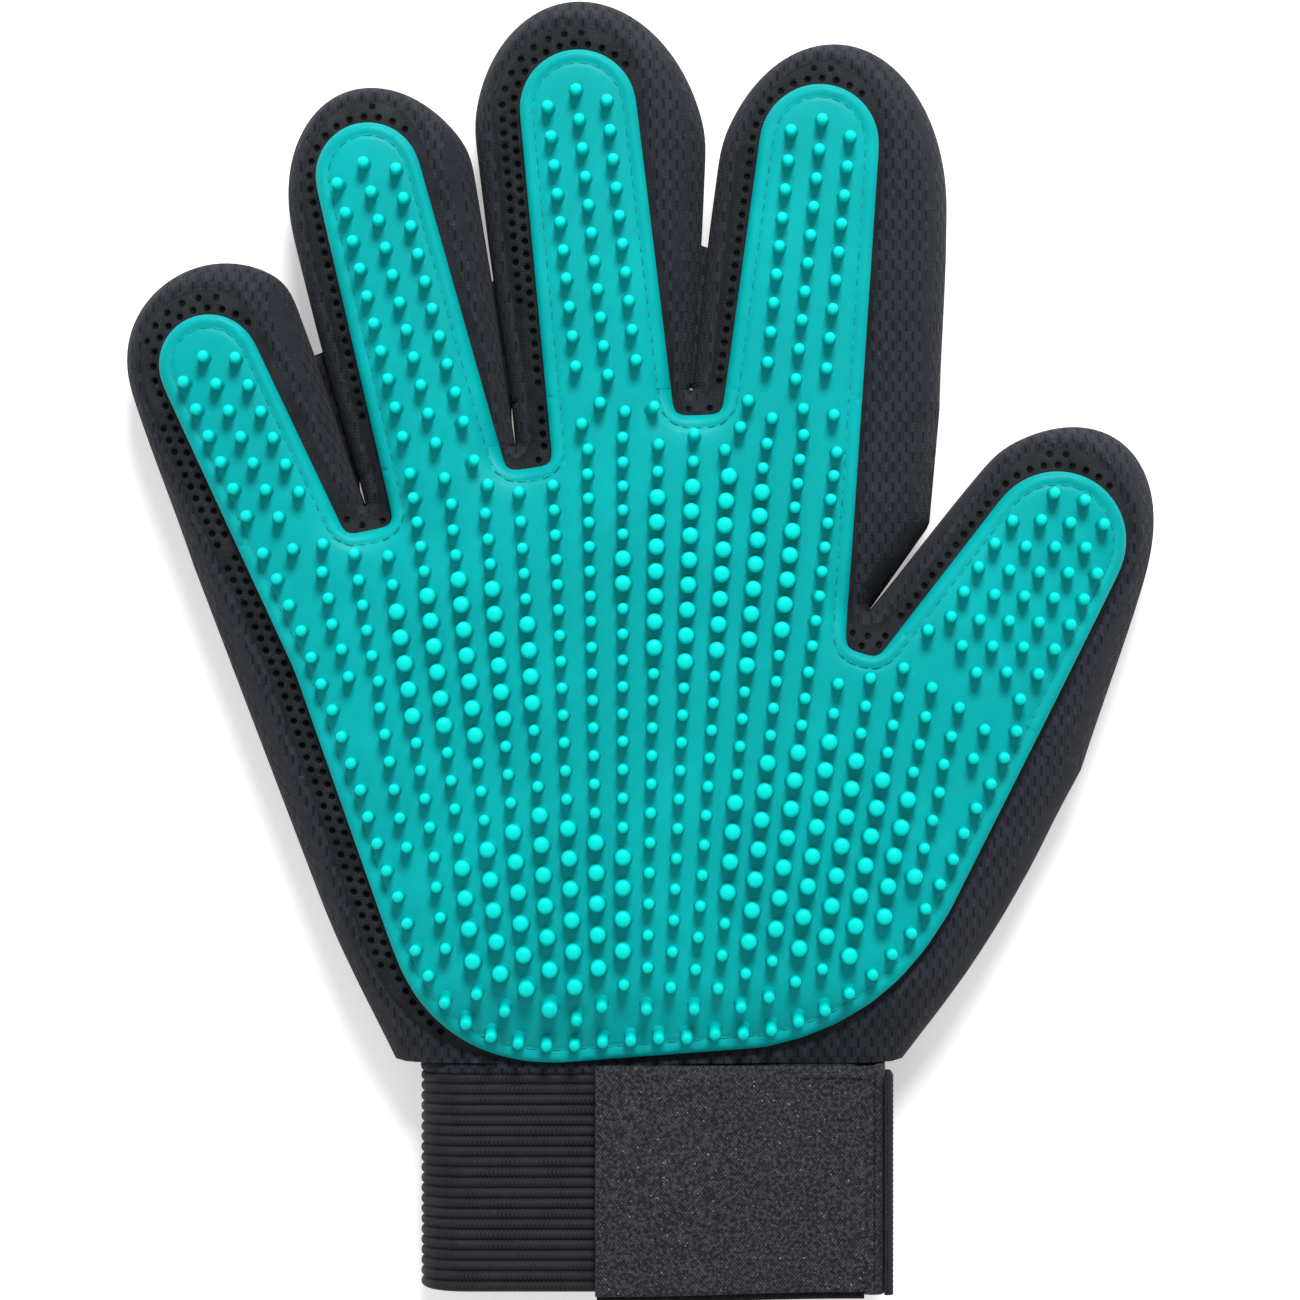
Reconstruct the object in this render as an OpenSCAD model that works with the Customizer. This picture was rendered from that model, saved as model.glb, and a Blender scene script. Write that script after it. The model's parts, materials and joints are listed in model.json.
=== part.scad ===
// Five-finger grooming glove for the right hand, lying on its back with the moulded
// pad up. X runs to the thumb, Y to the fingertips, Z up out of the pad. The origin is
// under the centre of the glove, on the surface that it lies on. Millimetres, degrees.

/* [Overall size] */
// Width of the glove from little finger to thumb
glove_width = 184; // [150:1:225]
// Length of the glove from fingertip to the end of the cuff
glove_length = 233; // [190:1:285]
// Height of the fabric glove off the surface, pad not included
glove_height = 21; // [17:0.5:28]

/* [Fabric] */
// Thickness of the knit back and sides
knit_wall = 1.2; // [0.8:0.1:2]
// Thickness of the air mesh on the palm side
mesh_wall = 1.2; // [0.8:0.1:2]
// How far the air mesh runs out past the moulded pad
mesh_margin = 2.2; // [1:0.1:3]
// How far the side of the knit stands outside the seam with the air mesh
seam_inset = 3.5; // [3:0.1:4.5]

/* [Moulded pad] */
// Thickness of the pad without its nubs
pad_thickness = 1.6; // [1:0.1:2.5]
// Height of a nub above the pad
nub_height = 3.6; // [2:0.1:5]
// Diameter of a small nub at its foot
small_nub = 2.1; // [1.4:0.1:2.6]
// Diameter of a large nub at its foot
large_nub = 3.0; // [2:0.1:3.4]
// Distance from one nub to the next along a column
nub_pitch = 5; // [4.2:0.1:7]
// Distance between neighbouring columns of nubs
nub_columns = 5.1; // [4.2:0.1:7]
// Distance of the outer nubs from the edge of the pad
nub_edge = 4.3; // [3.6:0.1:6]
// Distance of the stitch line from the edge of the pad
stitch_inset = 2.3; // [1.5:0.1:3]
// Thickness of the sewing thread
thread = 0.35; // [0.2:0.05:0.6]

/* [Knuckles] */
// Gap between a finger and the palm at the knuckle
knuckle_gap = 0.4; // [0.3:0.1:1]
// Gap beside a finger at its root
root_gap = 0.3; // [0.3:0.1:0.8]
// Extra gap beside a finger where it parts from its neighbour
web_gap = 1; // [0.8:0.1:2]

/* [Cuff] */
// Width of the flattened elastic cuff
cuff_width = 83.5; // [70:0.5:104]
// Thickness of the flattened elastic cuff
cuff_height = 17; // [14:0.5:20]
// Length of the cuff from the wrist seam to its open end
cuff_length = 41; // [30:0.5:52]
// Thickness of the elastic
elastic = 1.6; // [1:0.1:2.5]

/* [Closure tab] */
// Width of the tab from its free end to the cuff's edge
tab_width = 52; // [40:0.5:64]
// How far the tab runs past the open end of the cuff
tab_overhang = 1.3; // [0:0.1:3]
// Thickness of the woven tab
tab_thickness = 1.3; // [0.8:0.1:2]
// Thickness of the hook layer and of the loop patch, each
fastener = 0.8; // [0.5:0.1:1.2]
// Air left between the hooks and the loops
fastener_gap = 0.3; // [0.1:0.05:0.5]
// Width of the end of the tab that is sewn down
sewn_end = 4; // [3:0.1:7]

/* [Hidden] */

knit_colour = [0.15, 0.16, 0.2];
mesh_colour = [0.1, 0.11, 0.13];
pad_colour = [0, 0.72, 0.71];
thread_colour = [0, 0.55, 0.56];
elastic_colour = [0.12, 0.12, 0.15];
tab_colour = [0.22, 0.22, 0.25];

// The pattern is drawn for a glove of 184 by 233 and graded to the size asked for.
grade_x = glove_width / 184;
grade_y = glove_length / 233;
grade = min(grade_x, grade_y);
function at(x, y) = [x * grade_x, y * grade_y];

arc_steps = 20;
far = 400;

// Numbers of the fingers in the lists below.
LITTLE = 0;
RING = 1;
MIDDLE = 2;
INDEX = 3;
THUMB = 4;
FINGERS = [LITTLE, RING, MIDDLE, INDEX, THUMB];

// Bottoms of the four clefts between the fingers, from the little finger on.
cleft = [at(-49.3, 26.2), at(-22.3, 37), at(9.2, 46.9), at(41.2, 7.3)];
// Points where neighbouring fingers part, above each cleft.
web = [at(-60.1, 58.6), at(-29.3, 85.6), at(12.6, 80.2), at(49.7, 19)];

// Fabric tip of each finger: the centre of a half ellipse, its two radii and its lean
// to the right of straight up.
tip_centre = [at(-75.1, 52.7), at(-44.6, 77.5), at(-8.8, 88.9), at(33.8, 78.2), at(67.6, 10.8)];
tip_radii = [[17, 16.4], [17.3, 24.1], [20.3, 27.7], [20.8, 30.6], [19.6, 32.4]];
tip_lean = [-24.6, -20, -9.5, 4, 34.6];

// Direction in which each finger bends, to the right of straight up, and a point of its
// knuckle line.
bend_lean = [-19.5, -11.5, -4, 4.5, 37];
knuckle = [cleft[0], cleft[1], cleft[2], cleft[2], cleft[3]];

// Strip of the pad on each finger: the centre and radius of its round end, and the two
// points where its edges run into the palm.
strip_centre = [at(-76.6, 50.7), at(-48.4, 84.5), at(-11, 96.4), at(31.9, 90.1), at(74.2, 19.4)];
strip_radius = [9, 9.4, 10.4, 10.6, 12.4];
strip_left = [at(-61.4, -3.5), at(-43.7, 22.2), at(-15.5, 32.9), at(14.6, 41.9), at(42.3, -1.5)];
strip_right = [at(-52.4, 20.4), at(-23.8, 31.8), at(6.1, 41.7), at(36.5, 0.3), at(54.9, -46.7)];
slot_corner = 1;

// Wrist line, where the glove body ends and the cuff begins.
wrist_y = -73.8 * grade_y;
wrist_left = -40.3 * grade_x;
wrist_right = 47 * grade_x;

// Heights, from the surface up.
pad_base = glove_height;
pad_top = pad_base + pad_thickness;
nub_top = pad_top + nub_height;

// Rounding of the side of the glove: [share of the height, inset from the outline].
section = [[0, 4], [0.17, 1], [0.5, 0], [0.83, 1], [1, seam_inset - 0.3]];
slice = 0.02;

// ---- plane geometry ----

function turn(p, lean) = [p.x * cos(lean) + p.y * sin(lean), p.y * cos(lean) - p.x * sin(lean)];
function ahead(lean) = [sin(lean), cos(lean)];
function aside(lean) = [cos(lean), -sin(lean)];
function cross_z(a, b) = a.x * b.y - a.y * b.x;
// Where the line through p along u meets the line through q along v.
function meet(p, u, q, v) = p + u * cross_z(q - p, v) / cross_z(u, v);
function bezier(a, b, c, steps) = [for (i = [0 : steps]) let (t = i / steps)
    a * pow(1 - t, 2) + b * 2 * t * (1 - t) + c * pow(t, 2)];
// Points from a to b on a curve that stands out by bow to the right of a to b.
function bowed(a, b, bow, steps) = let (side = [b.y - a.y, a.x - b.x] / norm(b - a))
    [for (i = [0 : steps]) let (t = i / steps) a + (b - a) * t + side * bow * 4 * t * (1 - t)];
function distance_to_segment(p, a, b) =
    let (t = max(0, min(1, (p - a) * (b - a) / ((b - a) * (b - a))))) norm(p - a - (b - a) * t);
function distance_to_outline(p, outline) = min([for (i = [0 : len(outline) - 1])
    distance_to_segment(p, outline[i], outline[(i + 1) % len(outline)])]);
function crossings(p, outline) = len([for (i = [0 : len(outline) - 1])
    let (a = outline[i], b = outline[(i + 1) % len(outline)])
    if ((a.y > p.y) != (b.y > p.y) && p.x < a.x + (b.x - a.x) * (p.y - a.y) / (b.y - a.y)) 1]);
function inside(p, outline) = crossings(p, outline) % 2 == 1;
function add_up(list, count) = count < 1 ? 0 : list[count - 1] + add_up(list, count - 1);

// ---- outlines ----

// Side edges of the glove body, from the fingers down to the wrist.
left_edge = concat([at(-88.4, 36.3)], bowed(at(-56.9, -46.7), [wrist_left, wrist_y], 1.5, 5));
right_edge = bowed(at(86.5, 1), [wrist_right, wrist_y], -4.6, 8);
left_run = left_edge[1] - left_edge[0];

// Ends of each knuckle line: where it meets the seams or the side of the glove.
function knuckle_line(f) = let (along = aside(bend_lean[f])) [
    f == LITTLE ? meet(cleft[0], along, left_edge[0], left_run)
        : f == RING ? meet(cleft[1], along, cleft[0], web[0] - cleft[0])
        : f == MIDDLE ? meet(cleft[2], along, cleft[1], web[1] - cleft[1])
        : f == INDEX ? cleft[2] : cleft[3],
    f == LITTLE ? cleft[0] : f == RING ? cleft[1] : f == MIDDLE ? cleft[2]
        : f == INDEX ? meet(cleft[2], along, at(54.2, 60), at(-0.6, -40))
        : meet(cleft[3], along, right_edge[1], right_edge[2] - right_edge[1])
];
function knuckle_middle(f) = (knuckle_line(f)[0] + knuckle_line(f)[1]) / 2;

// Half ellipse at the end of a finger, from its right side over the tip to its left.
function tip_arc(f) = [for (i = [0 : arc_steps]) let (angle = 180 * i / arc_steps)
    tip_centre[f] + turn([tip_radii[f].x * cos(angle) * grade_x,
        tip_radii[f].y * sin(angle) * grade_y], tip_lean[f])];

// Room between the two seams beside a finger, less a gap beside its root that grows by
// spread up to where it parts from its neighbour. A side without a neighbour is left open.
function wedge(f, gap, spread) = let (
    line = knuckle_line(f),
    up = ahead(bend_lean[f]) * far,
    across = aside(bend_lean[f]) * far,
    low_left = f == LITTLE ? line[0] - across : line[0] + seam_side(f - 1) * gap,
    high_left = f == LITTLE ? low_left + up : seam_top(f - 1, gap, spread),
    low_right = f == INDEX || f == THUMB ? line[1] + across : line[1] - seam_side(f) * gap,
    high_right = f == INDEX || f == THUMB ? low_right + up : seam_top(f, -gap, -spread)
) [drawn_back(high_left, low_left), high_left, high_right, drawn_back(high_right, low_right)];
// The line from tip to root, drawn on past the root by the room that a root needs.
root_run = 8;
function drawn_back(tip, root) = root + (root - tip) / norm(root - tip) * root_run;
// Which way is to the right of the seam above cleft n, and a far point of that seam.
function seam_side(n) = let (run = web[n] - cleft[n]) [run.y, -run.x] / norm(run);
function seam_top(n, gap, spread) = let (run = web[n] - cleft[n], side = seam_side(n))
    cleft[n] + side * gap + (run + side * spread) * (far / norm(run));

// Fabric outline of a finger, with its root drawn on behind the knuckle.
module finger_plan(f) {
    line = knuckle_line(f);
    tip = tip_arc(f);
    intersection() {
        polygon(concat(tip, [drawn_back(tip[arc_steps], line[0]), drawn_back(tip[0], line[1])]));
        polygon(wedge(f, root_gap, web_gap));
    }
}

// Fabric outline of the palm in two convex pieces that overlap, drawn on past the
// knuckles and the wrist, which are cut afterwards.
past = [0, -8];
hand_plan = concat(left_edge, [left_edge[6] + past, right_edge[8] + past],
    [right_edge[8], at(53.2, 43.4), at(53.6, 55), at(9.2, 55), at(-22.3, 45), at(-49, 36)]);
thumb_base_plan = concat([for (i = [8 : -1 : 0]) right_edge[i]],
    [at(62, 16), at(41.2, 7.3), at(20, -30), at(20, -74)]);

// Outline of one finger's strip of the pad: straight sides that touch its round end.
function strip(f) = let (
    c = strip_centre[f],
    r = strip_radius[f] * grade,
    to_left = strip_left[f] - c,
    to_right = strip_right[f] - c,
    left_angle = atan2(to_left.y, to_left.x) - acos(r / norm(to_left)),
    right_angle = atan2(to_right.y, to_right.x) + acos(r / norm(to_right)),
    start = right_angle,
    sweep = (left_angle - right_angle + 720) % 360
) concat([strip_right[f]],
    [for (i = [0 : arc_steps]) c + r * [cos(start + sweep * i / arc_steps),
        sin(start + sweep * i / arc_steps)]],
    [strip_left[f]]);

// Outline of the pad on the palm, with the strips left off.
pad_bottom = concat(
    bezier(at(54.9, -46.7), at(43.5, -66.8), at(22, -70.9), 6),
    bezier(at(-14.8, -73.7), at(-37, -74), at(-44.3, -52.1), 8));
palm_outline = concat(
    [strip_left[LITTLE], strip_right[LITTLE], strip_left[RING], strip_right[RING],
    strip_left[MIDDLE], strip_right[MIDDLE], strip_left[INDEX], strip_right[INDEX],
    strip_left[THUMB]], pad_bottom);

// The whole pad seen from above.
module pad_plan() {
    offset(r = -slot_corner, $fn = 32) offset(delta = slot_corner) {
        polygon(palm_outline);
        for (f = FINGERS) polygon(strip(f));
    }
}

// The air mesh runs out past the pad, further on the little finger side and the tips.
mesh_shift = [-mesh_margin / 2, mesh_margin / 2];
module mesh_plan() {
    translate(mesh_shift) offset(r = mesh_margin, $fn = 24) pad_plan();
}

// ---- cuts ----

// Everything on the tip side of a finger's knuckle, from a distance past it.
module beyond_knuckle(f, past_line) {
    translate(knuckle_middle(f)) rotate(-bend_lean[f]) translate([-far / 2, past_line])
        square([far, far / 2]);
}
// The zones of neighbouring fingers meet and overlap a little along the seam.
seam_overlap = 0.05;
module finger_zone(f, past_line) {
    intersection() {
        beyond_knuckle(f, past_line);
        polygon(wedge(f, -seam_overlap, 0));
    }
}
module all_finger_zones() {
    for (f = FINGERS) finger_zone(f, -knuckle_gap / 2);
}
module slab(low, high) {
    translate([0, 0, low]) linear_extrude(high - low) children();
}
module through() {
    slab(-5, nub_top + 5) children();
}

// ---- fabric ----

// A rounded solid over an outline, with every side moved in by wall.
module rounded(wall) {
    hull() for (level = section)
        translate([0, 0, wall + level[0] * (glove_height - 2 * wall - slice)])
            linear_extrude(slice) offset(delta = -level[1] - wall) children();
}

module finger_knit(f) {
    color(knit_colour) difference() {
        rounded(0) finger_plan(f);
        rounded(knit_wall) finger_plan(f);
        slab(glove_height - mesh_wall, glove_height + 1) finger_mesh_plan(f);
        through() difference() {
            square(2 * far, center = true);
            beyond_knuckle(f, knuckle_gap / 2);
        }
    }
}

module finger_mesh_plan(f) {
    intersection() {
        mesh_plan();
        offset(delta = -seam_inset) finger_plan(f);
        beyond_knuckle(f, knuckle_gap / 2);
    }
}
module finger_mesh(f) {
    color(mesh_colour) slab(glove_height - mesh_wall, glove_height) finger_mesh_plan(f);
}

// The part of the palm side that isn't a finger.
module palm_zone() {
    difference() {
        translate([-far / 2, wrist_y]) square([far, far]);
        all_finger_zones();
    }
}
// Half the width of the gaps beside the clefts that the air mesh fills.
cleft_fill = 4;
module palm_mesh_plan() {
    intersection() {
        offset(delta = -cleft_fill) offset(delta = cleft_fill) mesh_plan();
        palm_zone();
        union() {
            offset(delta = -seam_inset) polygon(hand_plan);
            offset(delta = -seam_inset) polygon(thumb_base_plan);
        }
    }
}

module palm_knit() {
    color(knit_colour) difference() {
        union() {
            rounded(0) polygon(hand_plan);
            rounded(0) polygon(thumb_base_plan);
        }
        rounded(knit_wall) polygon(hand_plan);
        rounded(knit_wall) polygon(thumb_base_plan);
        slab(glove_height - mesh_wall, glove_height + 1) palm_mesh_plan();
        through() all_finger_zones();
        through() translate([-far / 2, wrist_y - far]) square([far, far]);
    }
}
module palm_mesh() {
    color(mesh_colour) slab(glove_height - mesh_wall, glove_height) palm_mesh_plan();
}

// ---- moulded pad ----

module nub(p, foot) {
    translate([p.x, p.y, pad_top - 0.3])
        cylinder(h = nub_height + 0.3, d1 = foot, d2 = foot * 0.78, $fn = 20);
}

// Nubs on a finger stand in staggered columns along the strip.
function strip_mid_at_knuckle(f) = let (
    side = aside(bend_lean[f]),
    l = meet(strip_left[f], strip(f)[arc_steps + 1] - strip_left[f], knuckle[f], side),
    r = meet(strip_right[f], strip(f)[1] - strip_right[f], knuckle[f], side)
) (l + r) / 2;
knuckle_clear = 3;
column_count = [3, 3, 3, 3, 5];
function finger_nubs(f) = let (
    root = strip_mid_at_knuckle(f),
    run = strip_centre[f] - root,
    up = run / norm(run),
    side = [up.y, -up.x],
    half = (column_count[f] - 1) / 2,
    across = min(nub_columns, 2 * (strip_radius[f] * grade - nub_edge) / (column_count[f] - 1)),
    reach = norm(run) + strip_radius[f] * grade
) [for (c = [-half : half]) for (k = [0 : 40])
    let (p = root + side * c * across * 1.02 + up * (knuckle_clear + nub_pitch * (k + (abs(c) % 2) / 2)))
    if (inside(p, strip(f)) && distance_to_outline(p, strip(f)) > nub_edge - 0.6
        && (p - knuckle[f]) * ahead(bend_lean[f]) > knuckle_clear - 0.1
        && norm(p - root) < reach) p];

// Nubs on the palm: one row follows the edge, and inside it columns fan out from a
// point below the wrist, with the same room for every nub. Four mounds have large nubs.
fan_centre = at(-3, -260);
fan_mid = 240 * grade_y;
fan_start = 182 * grade_y;
fan_step = nub_columns / fan_mid * 180 / PI;
fan_growth = 2 * nub_pitch * fan_mid;
mounds = [
    [at(-31, -2), at(15, 16)],
    [at(12.8, 13.6), at(16, 18)],
    [at(-17, -45), at(16, 18)],
    [at(30.8, -36), at(19, 20)]
];
function on_mound(p) = len([for (m = mounds)
    if (pow((p.x - m[0].x) / m[1].x, 2) + pow((p.y - m[0].y) / m[1].y, 2) < 1) 1]) > 0;

// Ring of points round the palm at the distance of the outer nubs, from the little
// finger's knuckle down the left, along the bottom and up the thumb's side.
edge_points = concat([strip(LITTLE)[arc_steps + 1]], [strip_left[LITTLE]],
    [for (i = [len(pad_bottom) - 1 : -1 : 0]) pad_bottom[i]], [strip(THUMB)[1]]);
edge_row = [for (i = [0 : len(edge_points) - 1]) let (
    a = edge_points[max(i - 1, 0)],
    b = edge_points[min(i + 1, len(edge_points) - 1)],
    run = (b - a) / norm(b - a)
) edge_points[i] + [-run.y, run.x] * nub_edge];
edge_lengths = [for (i = [1 : len(edge_row) - 1]) norm(edge_row[i] - edge_row[i - 1])];
function point_along(s, i = 0) = i >= len(edge_lengths) ? edge_row[len(edge_row) - 1]
    : s > edge_lengths[i] ? point_along(s - edge_lengths[i], i + 1)
    : edge_row[i] + (edge_row[i + 1] - edge_row[i]) * s / edge_lengths[i];
edge_total = add_up(edge_lengths, len(edge_lengths));
function before_knuckles(p) = len([for (f = FINGERS)
    if ((p - knuckle[f]) * ahead(bend_lean[f]) > -knuckle_clear && inside(p, wedge(f, 0, 0))) 1]) == 0;
edge_nubs = [for (k = [0 : floor(edge_total / nub_pitch)]) let (p = point_along(k * nub_pitch))
    if (before_knuckles(p)) p];
// Edges of the pad that the outer row doesn't follow: beside and between the strips.
inner_sides = concat(
    [for (f = [RING, MIDDLE, INDEX, THUMB]) [strip_left[f], strip(f)[arc_steps + 1]]],
    [for (f = [LITTLE, RING, MIDDLE, INDEX]) [strip_right[f], strip(f)[1]]],
    [for (f = [RING, MIDDLE, INDEX, THUMB]) [strip_right[f - 1], strip_left[f]]]);
outer_sides = [for (i = [0 : len(edge_points) - 2]) [edge_points[i], edge_points[i + 1]]];
function clearance(p, sides) = min([for (s = sides) distance_to_segment(p, s[0], s[1])]);
function on_pad(p) = inside(p, palm_outline)
    || len([for (f = FINGERS) if (inside(p, strip(f))) 1]) > 0;
inner_nubs = [for (i = [-18 : 20]) for (j = [0 : 60]) let (
    r = sqrt(pow(fan_start, 2) + fan_growth * (j + (abs(i) % 2) / 2)),
    p = fan_centre + r * ahead(i * fan_step)
) if (on_pad(p) && before_knuckles(p) && clearance(p, inner_sides) > nub_edge - 0.4
    && clearance(p, outer_sides) > nub_edge + nub_pitch * 0.7) p];
palm_nubs = concat(edge_nubs, inner_nubs);

module finger_pad(f) {
    color(pad_colour) {
        slab(pad_base, pad_top) intersection() {
            pad_plan();
            finger_zone(f, knuckle_gap / 2);
        }
        for (p = finger_nubs(f)) nub(p, small_nub);
    }
}
module palm_pad() {
    color(pad_colour) {
        slab(pad_base, pad_top) intersection() {
            pad_plan();
            palm_zone();
        }
        for (p = palm_nubs) nub(p, on_mound(p) ? large_nub : small_nub);
    }
}

// Sewing line round the pad.
module stitch_plan() {
    difference() {
        offset(delta = -stitch_inset) pad_plan();
        offset(delta = -stitch_inset - thread) pad_plan();
    }
}
module finger_thread(f) {
    color(thread_colour) slab(pad_top, pad_top + thread / 2) intersection() {
        stitch_plan();
        finger_zone(f, knuckle_gap / 2);
    }
}
module palm_thread() {
    color(thread_colour) slab(pad_top, pad_top + thread / 2) intersection() {
        stitch_plan();
        palm_zone();
    }
}

// ---- cuff and closure ----

cuff_left = -39.5 * grade_x;
cuff_right = cuff_left + cuff_width;
seam_length = 2;
cuff_top_y = wrist_y - seam_length;
cuff_end_y = wrist_y - cuff_length;
function oval(inset) = let (
    r = cuff_height / 2 - inset,
    left = cuff_left + cuff_height / 2,
    right = cuff_right - cuff_height / 2
) concat(
    [for (i = [0 : arc_steps]) let (angle = -90 + 180 * i / arc_steps)
        [right + r * cos(angle), cuff_height / 2 + r * sin(angle)]],
    [for (i = [0 : arc_steps]) let (angle = 90 + 180 * i / arc_steps)
        [left + r * cos(angle), cuff_height / 2 + r * sin(angle)]]);
// An oval band round the wrist between two places along the glove.
module band(from_y, to_y, outer, inner) {
    translate([0, to_y, 0]) rotate([90, 0, 0]) linear_extrude(to_y - from_y) difference() {
        polygon(oval(outer));
        polygon(oval(inner));
    }
}
module cuff_elastic() {
    color(elastic_colour) band(cuff_end_y, cuff_top_y, 0, elastic);
}
// Sewn edge that joins the cuff to the glove body.
module wrist_seam() {
    color(knit_colour) band(cuff_top_y, wrist_y, 0, elastic + knit_wall);
}

loop_base = cuff_height;
hooks_base = loop_base + fastener + fastener_gap;
tab_base = hooks_base + fastener;
tab_top = tab_base + tab_thickness;
tab_right = cuff_right;
tab_left = tab_right - tab_width;
tab_low_y = cuff_end_y - tab_overhang;
tab_high_y = wrist_y - 0.3;
tab_hinge_x = tab_right - sewn_end;
flap_right = tab_hinge_x - knuckle_gap / 2;
patch_left = tab_left + 1;
flat_right = cuff_right - cuff_height / 2;
hook_width = 0.6 * tab_width;
selvage = 2.5;

module loop_patch() {
    color(elastic_colour) translate([patch_left, cuff_end_y, loop_base])
        cube([flat_right - patch_left, cuff_top_y - cuff_end_y, fastener]);
}
module tab_flap() {
    color(tab_colour) translate([tab_left, tab_low_y, tab_base])
        cube([flap_right - tab_left, tab_high_y - tab_low_y, tab_thickness]);
}
module tab_hooks() {
    color(elastic_colour) translate([tab_left + 1, tab_low_y + selvage, hooks_base])
        cube([hook_width, tab_high_y - tab_low_y - 2 * selvage, fastener]);
}
// The sewn end of the tab reaches down to the shoulder of the cuff.
module tab_sewn_end() {
    color(tab_colour) difference() {
        translate([tab_hinge_x, tab_low_y, cuff_height / 2])
            cube([tab_right - tab_hinge_x, tab_high_y - tab_low_y, tab_top - cuff_height / 2]);
        translate([0, tab_low_y - 1, 0]) translate([0, far, 0]) rotate([90, 0, 0])
            linear_extrude(far) polygon(oval(0));
    }
}
module tab_stitching() {
    stitch_x = tab_right - sewn_end * 0.6;
    color(thread_colour) translate([stitch_x, tab_low_y + selvage, tab_top])
        cube([thread, tab_high_y - tab_low_y - 2 * selvage, thread / 2]);
}
// Narrow elastic fold round the edge of the cuff, where the tab's sewn end is caught in.
module cuff_binding() {
    binding = 1.2;
    color(elastic_colour) translate([tab_right, cuff_end_y, cuff_height / 2])
        cube([binding, cuff_top_y - cuff_end_y, tab_top - cuff_height / 2]);
}

palm_knit();
palm_mesh();
palm_pad();
palm_thread();
wrist_seam();
finger_knit(LITTLE);  // little_knit
finger_mesh(LITTLE);  // little_mesh
finger_pad(LITTLE);  // little_pad
finger_thread(LITTLE);  // little_thread
finger_knit(RING);  // ring_knit
finger_mesh(RING);  // ring_mesh
finger_pad(RING);  // ring_pad
finger_thread(RING);  // ring_thread
finger_knit(MIDDLE);  // middle_knit
finger_mesh(MIDDLE);  // middle_mesh
finger_pad(MIDDLE);  // middle_pad
finger_thread(MIDDLE);  // middle_thread
finger_knit(INDEX);  // index_knit
finger_mesh(INDEX);  // index_mesh
finger_pad(INDEX);  // index_pad
finger_thread(INDEX);  // index_thread
finger_knit(THUMB);  // thumb_knit
finger_mesh(THUMB);  // thumb_mesh
finger_pad(THUMB);  // thumb_pad
finger_thread(THUMB);  // thumb_thread
cuff_elastic();
cuff_binding();
loop_patch();
tab_sewn_end();
tab_stitching();
tab_flap();
tab_hooks();
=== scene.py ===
"""Looks of the five-finger grooming glove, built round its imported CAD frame.

Outlines are worked out in millimetres, seen from above, and meshes are made in metres.
X runs to the thumb, Y to the fingertips and Z out of the moulded pad.
"""

import json
import math

import bmesh
import bpy
import numpy as np
from mathutils import Matrix, Vector
from mathutils.geometry import delaunay_2d_cdt
from mathutils.kdtree import KDTree

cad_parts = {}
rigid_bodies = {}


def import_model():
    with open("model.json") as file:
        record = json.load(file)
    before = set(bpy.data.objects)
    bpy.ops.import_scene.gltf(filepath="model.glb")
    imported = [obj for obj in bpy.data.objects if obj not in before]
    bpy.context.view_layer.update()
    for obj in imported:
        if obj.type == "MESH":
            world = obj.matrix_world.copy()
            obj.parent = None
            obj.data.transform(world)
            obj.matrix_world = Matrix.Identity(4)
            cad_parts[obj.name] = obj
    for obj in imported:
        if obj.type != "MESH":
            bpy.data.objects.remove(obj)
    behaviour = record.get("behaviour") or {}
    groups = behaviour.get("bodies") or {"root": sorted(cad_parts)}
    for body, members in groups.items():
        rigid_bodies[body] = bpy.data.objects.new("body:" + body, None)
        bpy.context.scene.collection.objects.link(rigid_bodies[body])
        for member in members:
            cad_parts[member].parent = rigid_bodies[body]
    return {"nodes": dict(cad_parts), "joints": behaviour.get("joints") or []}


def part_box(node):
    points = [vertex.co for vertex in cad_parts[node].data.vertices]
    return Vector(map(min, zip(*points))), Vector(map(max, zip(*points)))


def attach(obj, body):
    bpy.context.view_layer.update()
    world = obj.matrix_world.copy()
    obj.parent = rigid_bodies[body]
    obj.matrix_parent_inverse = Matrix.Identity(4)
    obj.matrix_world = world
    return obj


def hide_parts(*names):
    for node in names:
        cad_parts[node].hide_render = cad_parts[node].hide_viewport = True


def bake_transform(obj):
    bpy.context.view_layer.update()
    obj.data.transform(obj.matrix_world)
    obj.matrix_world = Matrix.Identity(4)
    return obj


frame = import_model()
for extra in [o for o in bpy.data.objects if o.type in ("LIGHT", "CAMERA") or o.name == "Cube"]:
    bpy.data.objects.remove(extra)
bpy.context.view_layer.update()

MM = 0.001
FINGERS = ["little", "ring", "middle", "index", "thumb"]
BODY_OF = {name: name + "_finger" for name in FINGERS[:4]}
BODY_OF["thumb"] = "thumb"
BODY_OF["palm"] = "palm"
PARTS = ["palm"] + FINGERS

# ---- plane geometry ----


def smoothstep(x):
    x = np.clip(x, 0, 1)
    return x * x * (3 - 2 * x)


def mix(a, b, share):
    return a + (b - a) * share


def hull(points):
    """Convex outline of some points, counter-clockwise."""
    points = sorted({(round(x, 3), round(y, 3)) for x, y in points})

    def half(run):
        chain = []
        for p in run:
            while len(chain) > 1:
                (ax, ay), (bx, by) = chain[-2], chain[-1]
                if (bx - ax) * (p[1] - ay) - (by - ay) * (p[0] - ax) > 1e-6:
                    break
                chain.pop()
            chain.append(p)
        return chain[:-1]

    return np.array(half(points) + half(points[::-1]))


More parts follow.
